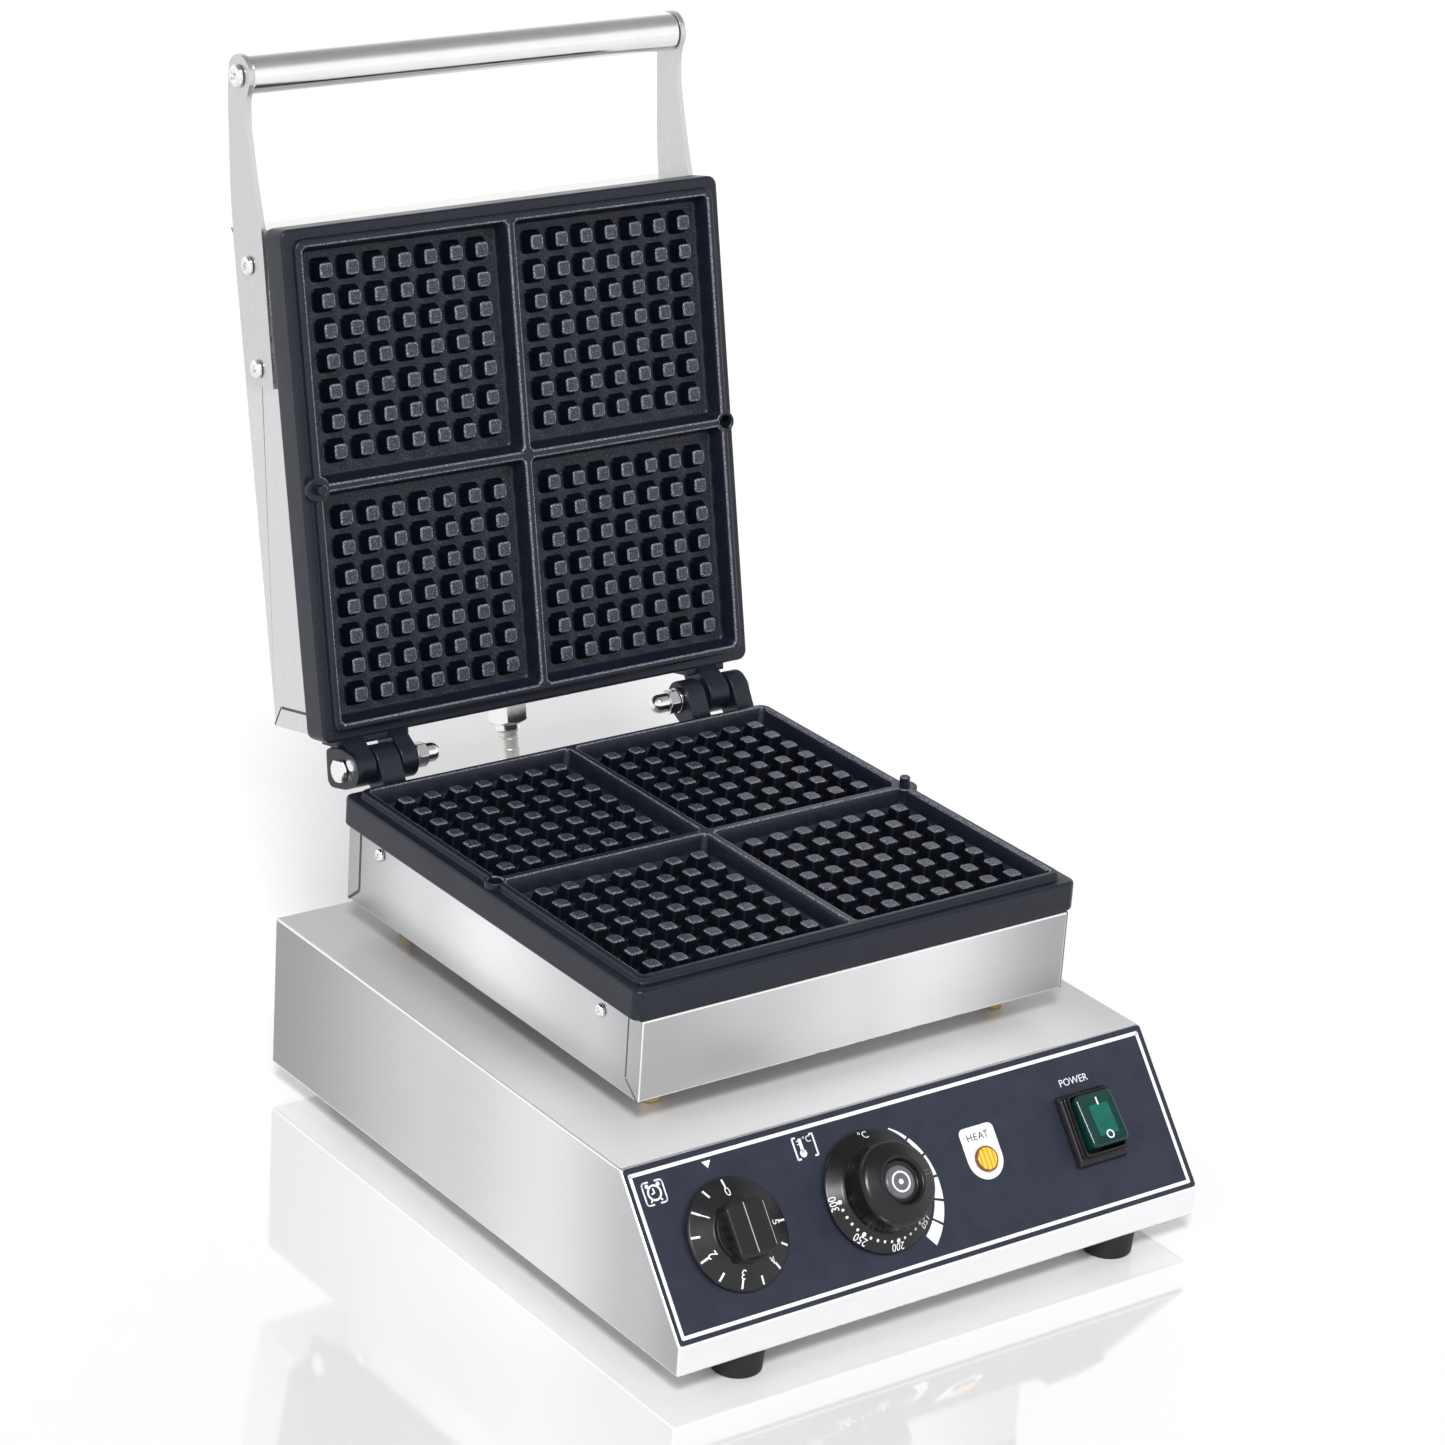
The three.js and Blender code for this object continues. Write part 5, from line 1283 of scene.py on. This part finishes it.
def studio():
    """Pale floor under a bright sky, palest at the horizon, with one soft sun from beside the camera."""
    scene = bpy.context.scene
    scene.view_settings.view_transform = "Standard"
    size = 14.0
    mesh = bpy.data.meshes.new("floor")
    corners = [(-size, -size, 0), (size, -size, 0), (size, size, 0), (-size, size, 0)]
    mesh.from_pydata(corners, [], [(0, 1, 2, 3)])
    material, tree, shader = new_material("pale_floor", Roughness=0.05, IOR=2.5)
    colour = blended(tree, noise(tree, 1.5), (0.86, 0.86, 0.865), (0.89, 0.89, 0.895))
    fill(tree, shader, {"Base Color": colour})
    mesh.materials.append(material)
    scratch_object("floor", mesh)

    world = bpy.data.worlds.new("studio")
    scene.world = world
    world.use_nodes = True
    tree = world.node_tree
    height = added(tree, "SeparateXYZ", "Z", Vector=added(tree, "TexCoord", "Generated"))
    sky = [(0, (1, 1, 1)), (0.45, (0.92, 0.92, 0.9292)), (0.68, (0.42, 0.42, 0.4242)), (1, (0.2, 0.2, 0.21))]
    fill(tree, tree.nodes["Background"], {"Color": ramp(tree, height, sky), "Strength": 1.22})

    sun = bpy.data.lights.new("sun", "SUN")
    sun.energy = 2.3
    sun.angle = math.radians(14)
    lamp = scratch_object("sun", sun)
    lamp.rotation_euler = Vector((-0.58, -0.76, 1.1)).to_track_quat("Z", "Y").to_euler()


carried_over()
refined("base_shell", (BASE_STEEL, EDGE_HIGHLIGHT_STEEL, BASE_SIDE, BASE_LIP, BASE_TOP))
sheet_boxes()
lower_plate()
upper_plate()
handle_tube()
SCREW_FACE, TRAY_FACE = BRACKET_INNER + BRACKET_THICKNESS + GAP, TRAY_HALF + GAP
# Each screw's name, head radius and height, the face it sits on, its y and z, its frame and its turn.
SIDE_SCREWS = (
    ("handle_screw", 4.9, 2.8, SCREW_FACE, HANDLE_Y, HANDLE_Z, LID, 0.5),
    ("bracket_screw_upper", 4.1, 2.5, SCREW_FACE, -67.6, 162.7, LID, 0.9),
    ("bracket_screw_lower", 4.1, 2.5, SCREW_FACE, -24.4, 162.7, LID, 1.25),
    ("tray_screw_front", 2.8, 1.9, TRAY_FACE, -55.7, 107.7, HOUSING, 0.3),
    ("tray_screw_rear", 2.8, 1.9, TRAY_FACE, 106.4, 109.1, HOUSING, 1.0),
)
for label, side in SIDES:
    handle_bracket(label, side)
    for name, *details in SIDE_SCREWS:
        side_screw(f"{name}_{label}", *details)
hinge_hardware("left", -1, 103.3, 69.8)
hinge_hardware("right", 1, 103, 69.8)
hose_fittings()
for corner in ("front_left", "front_right", "rear_left", "rear_right"):
    standoff(f"standoff_{corner}")
    rubber_foot(f"foot_{corner}")
panel_print()
timer_dial()
thermostat_dial()
indicator()
power_switch()
studio()
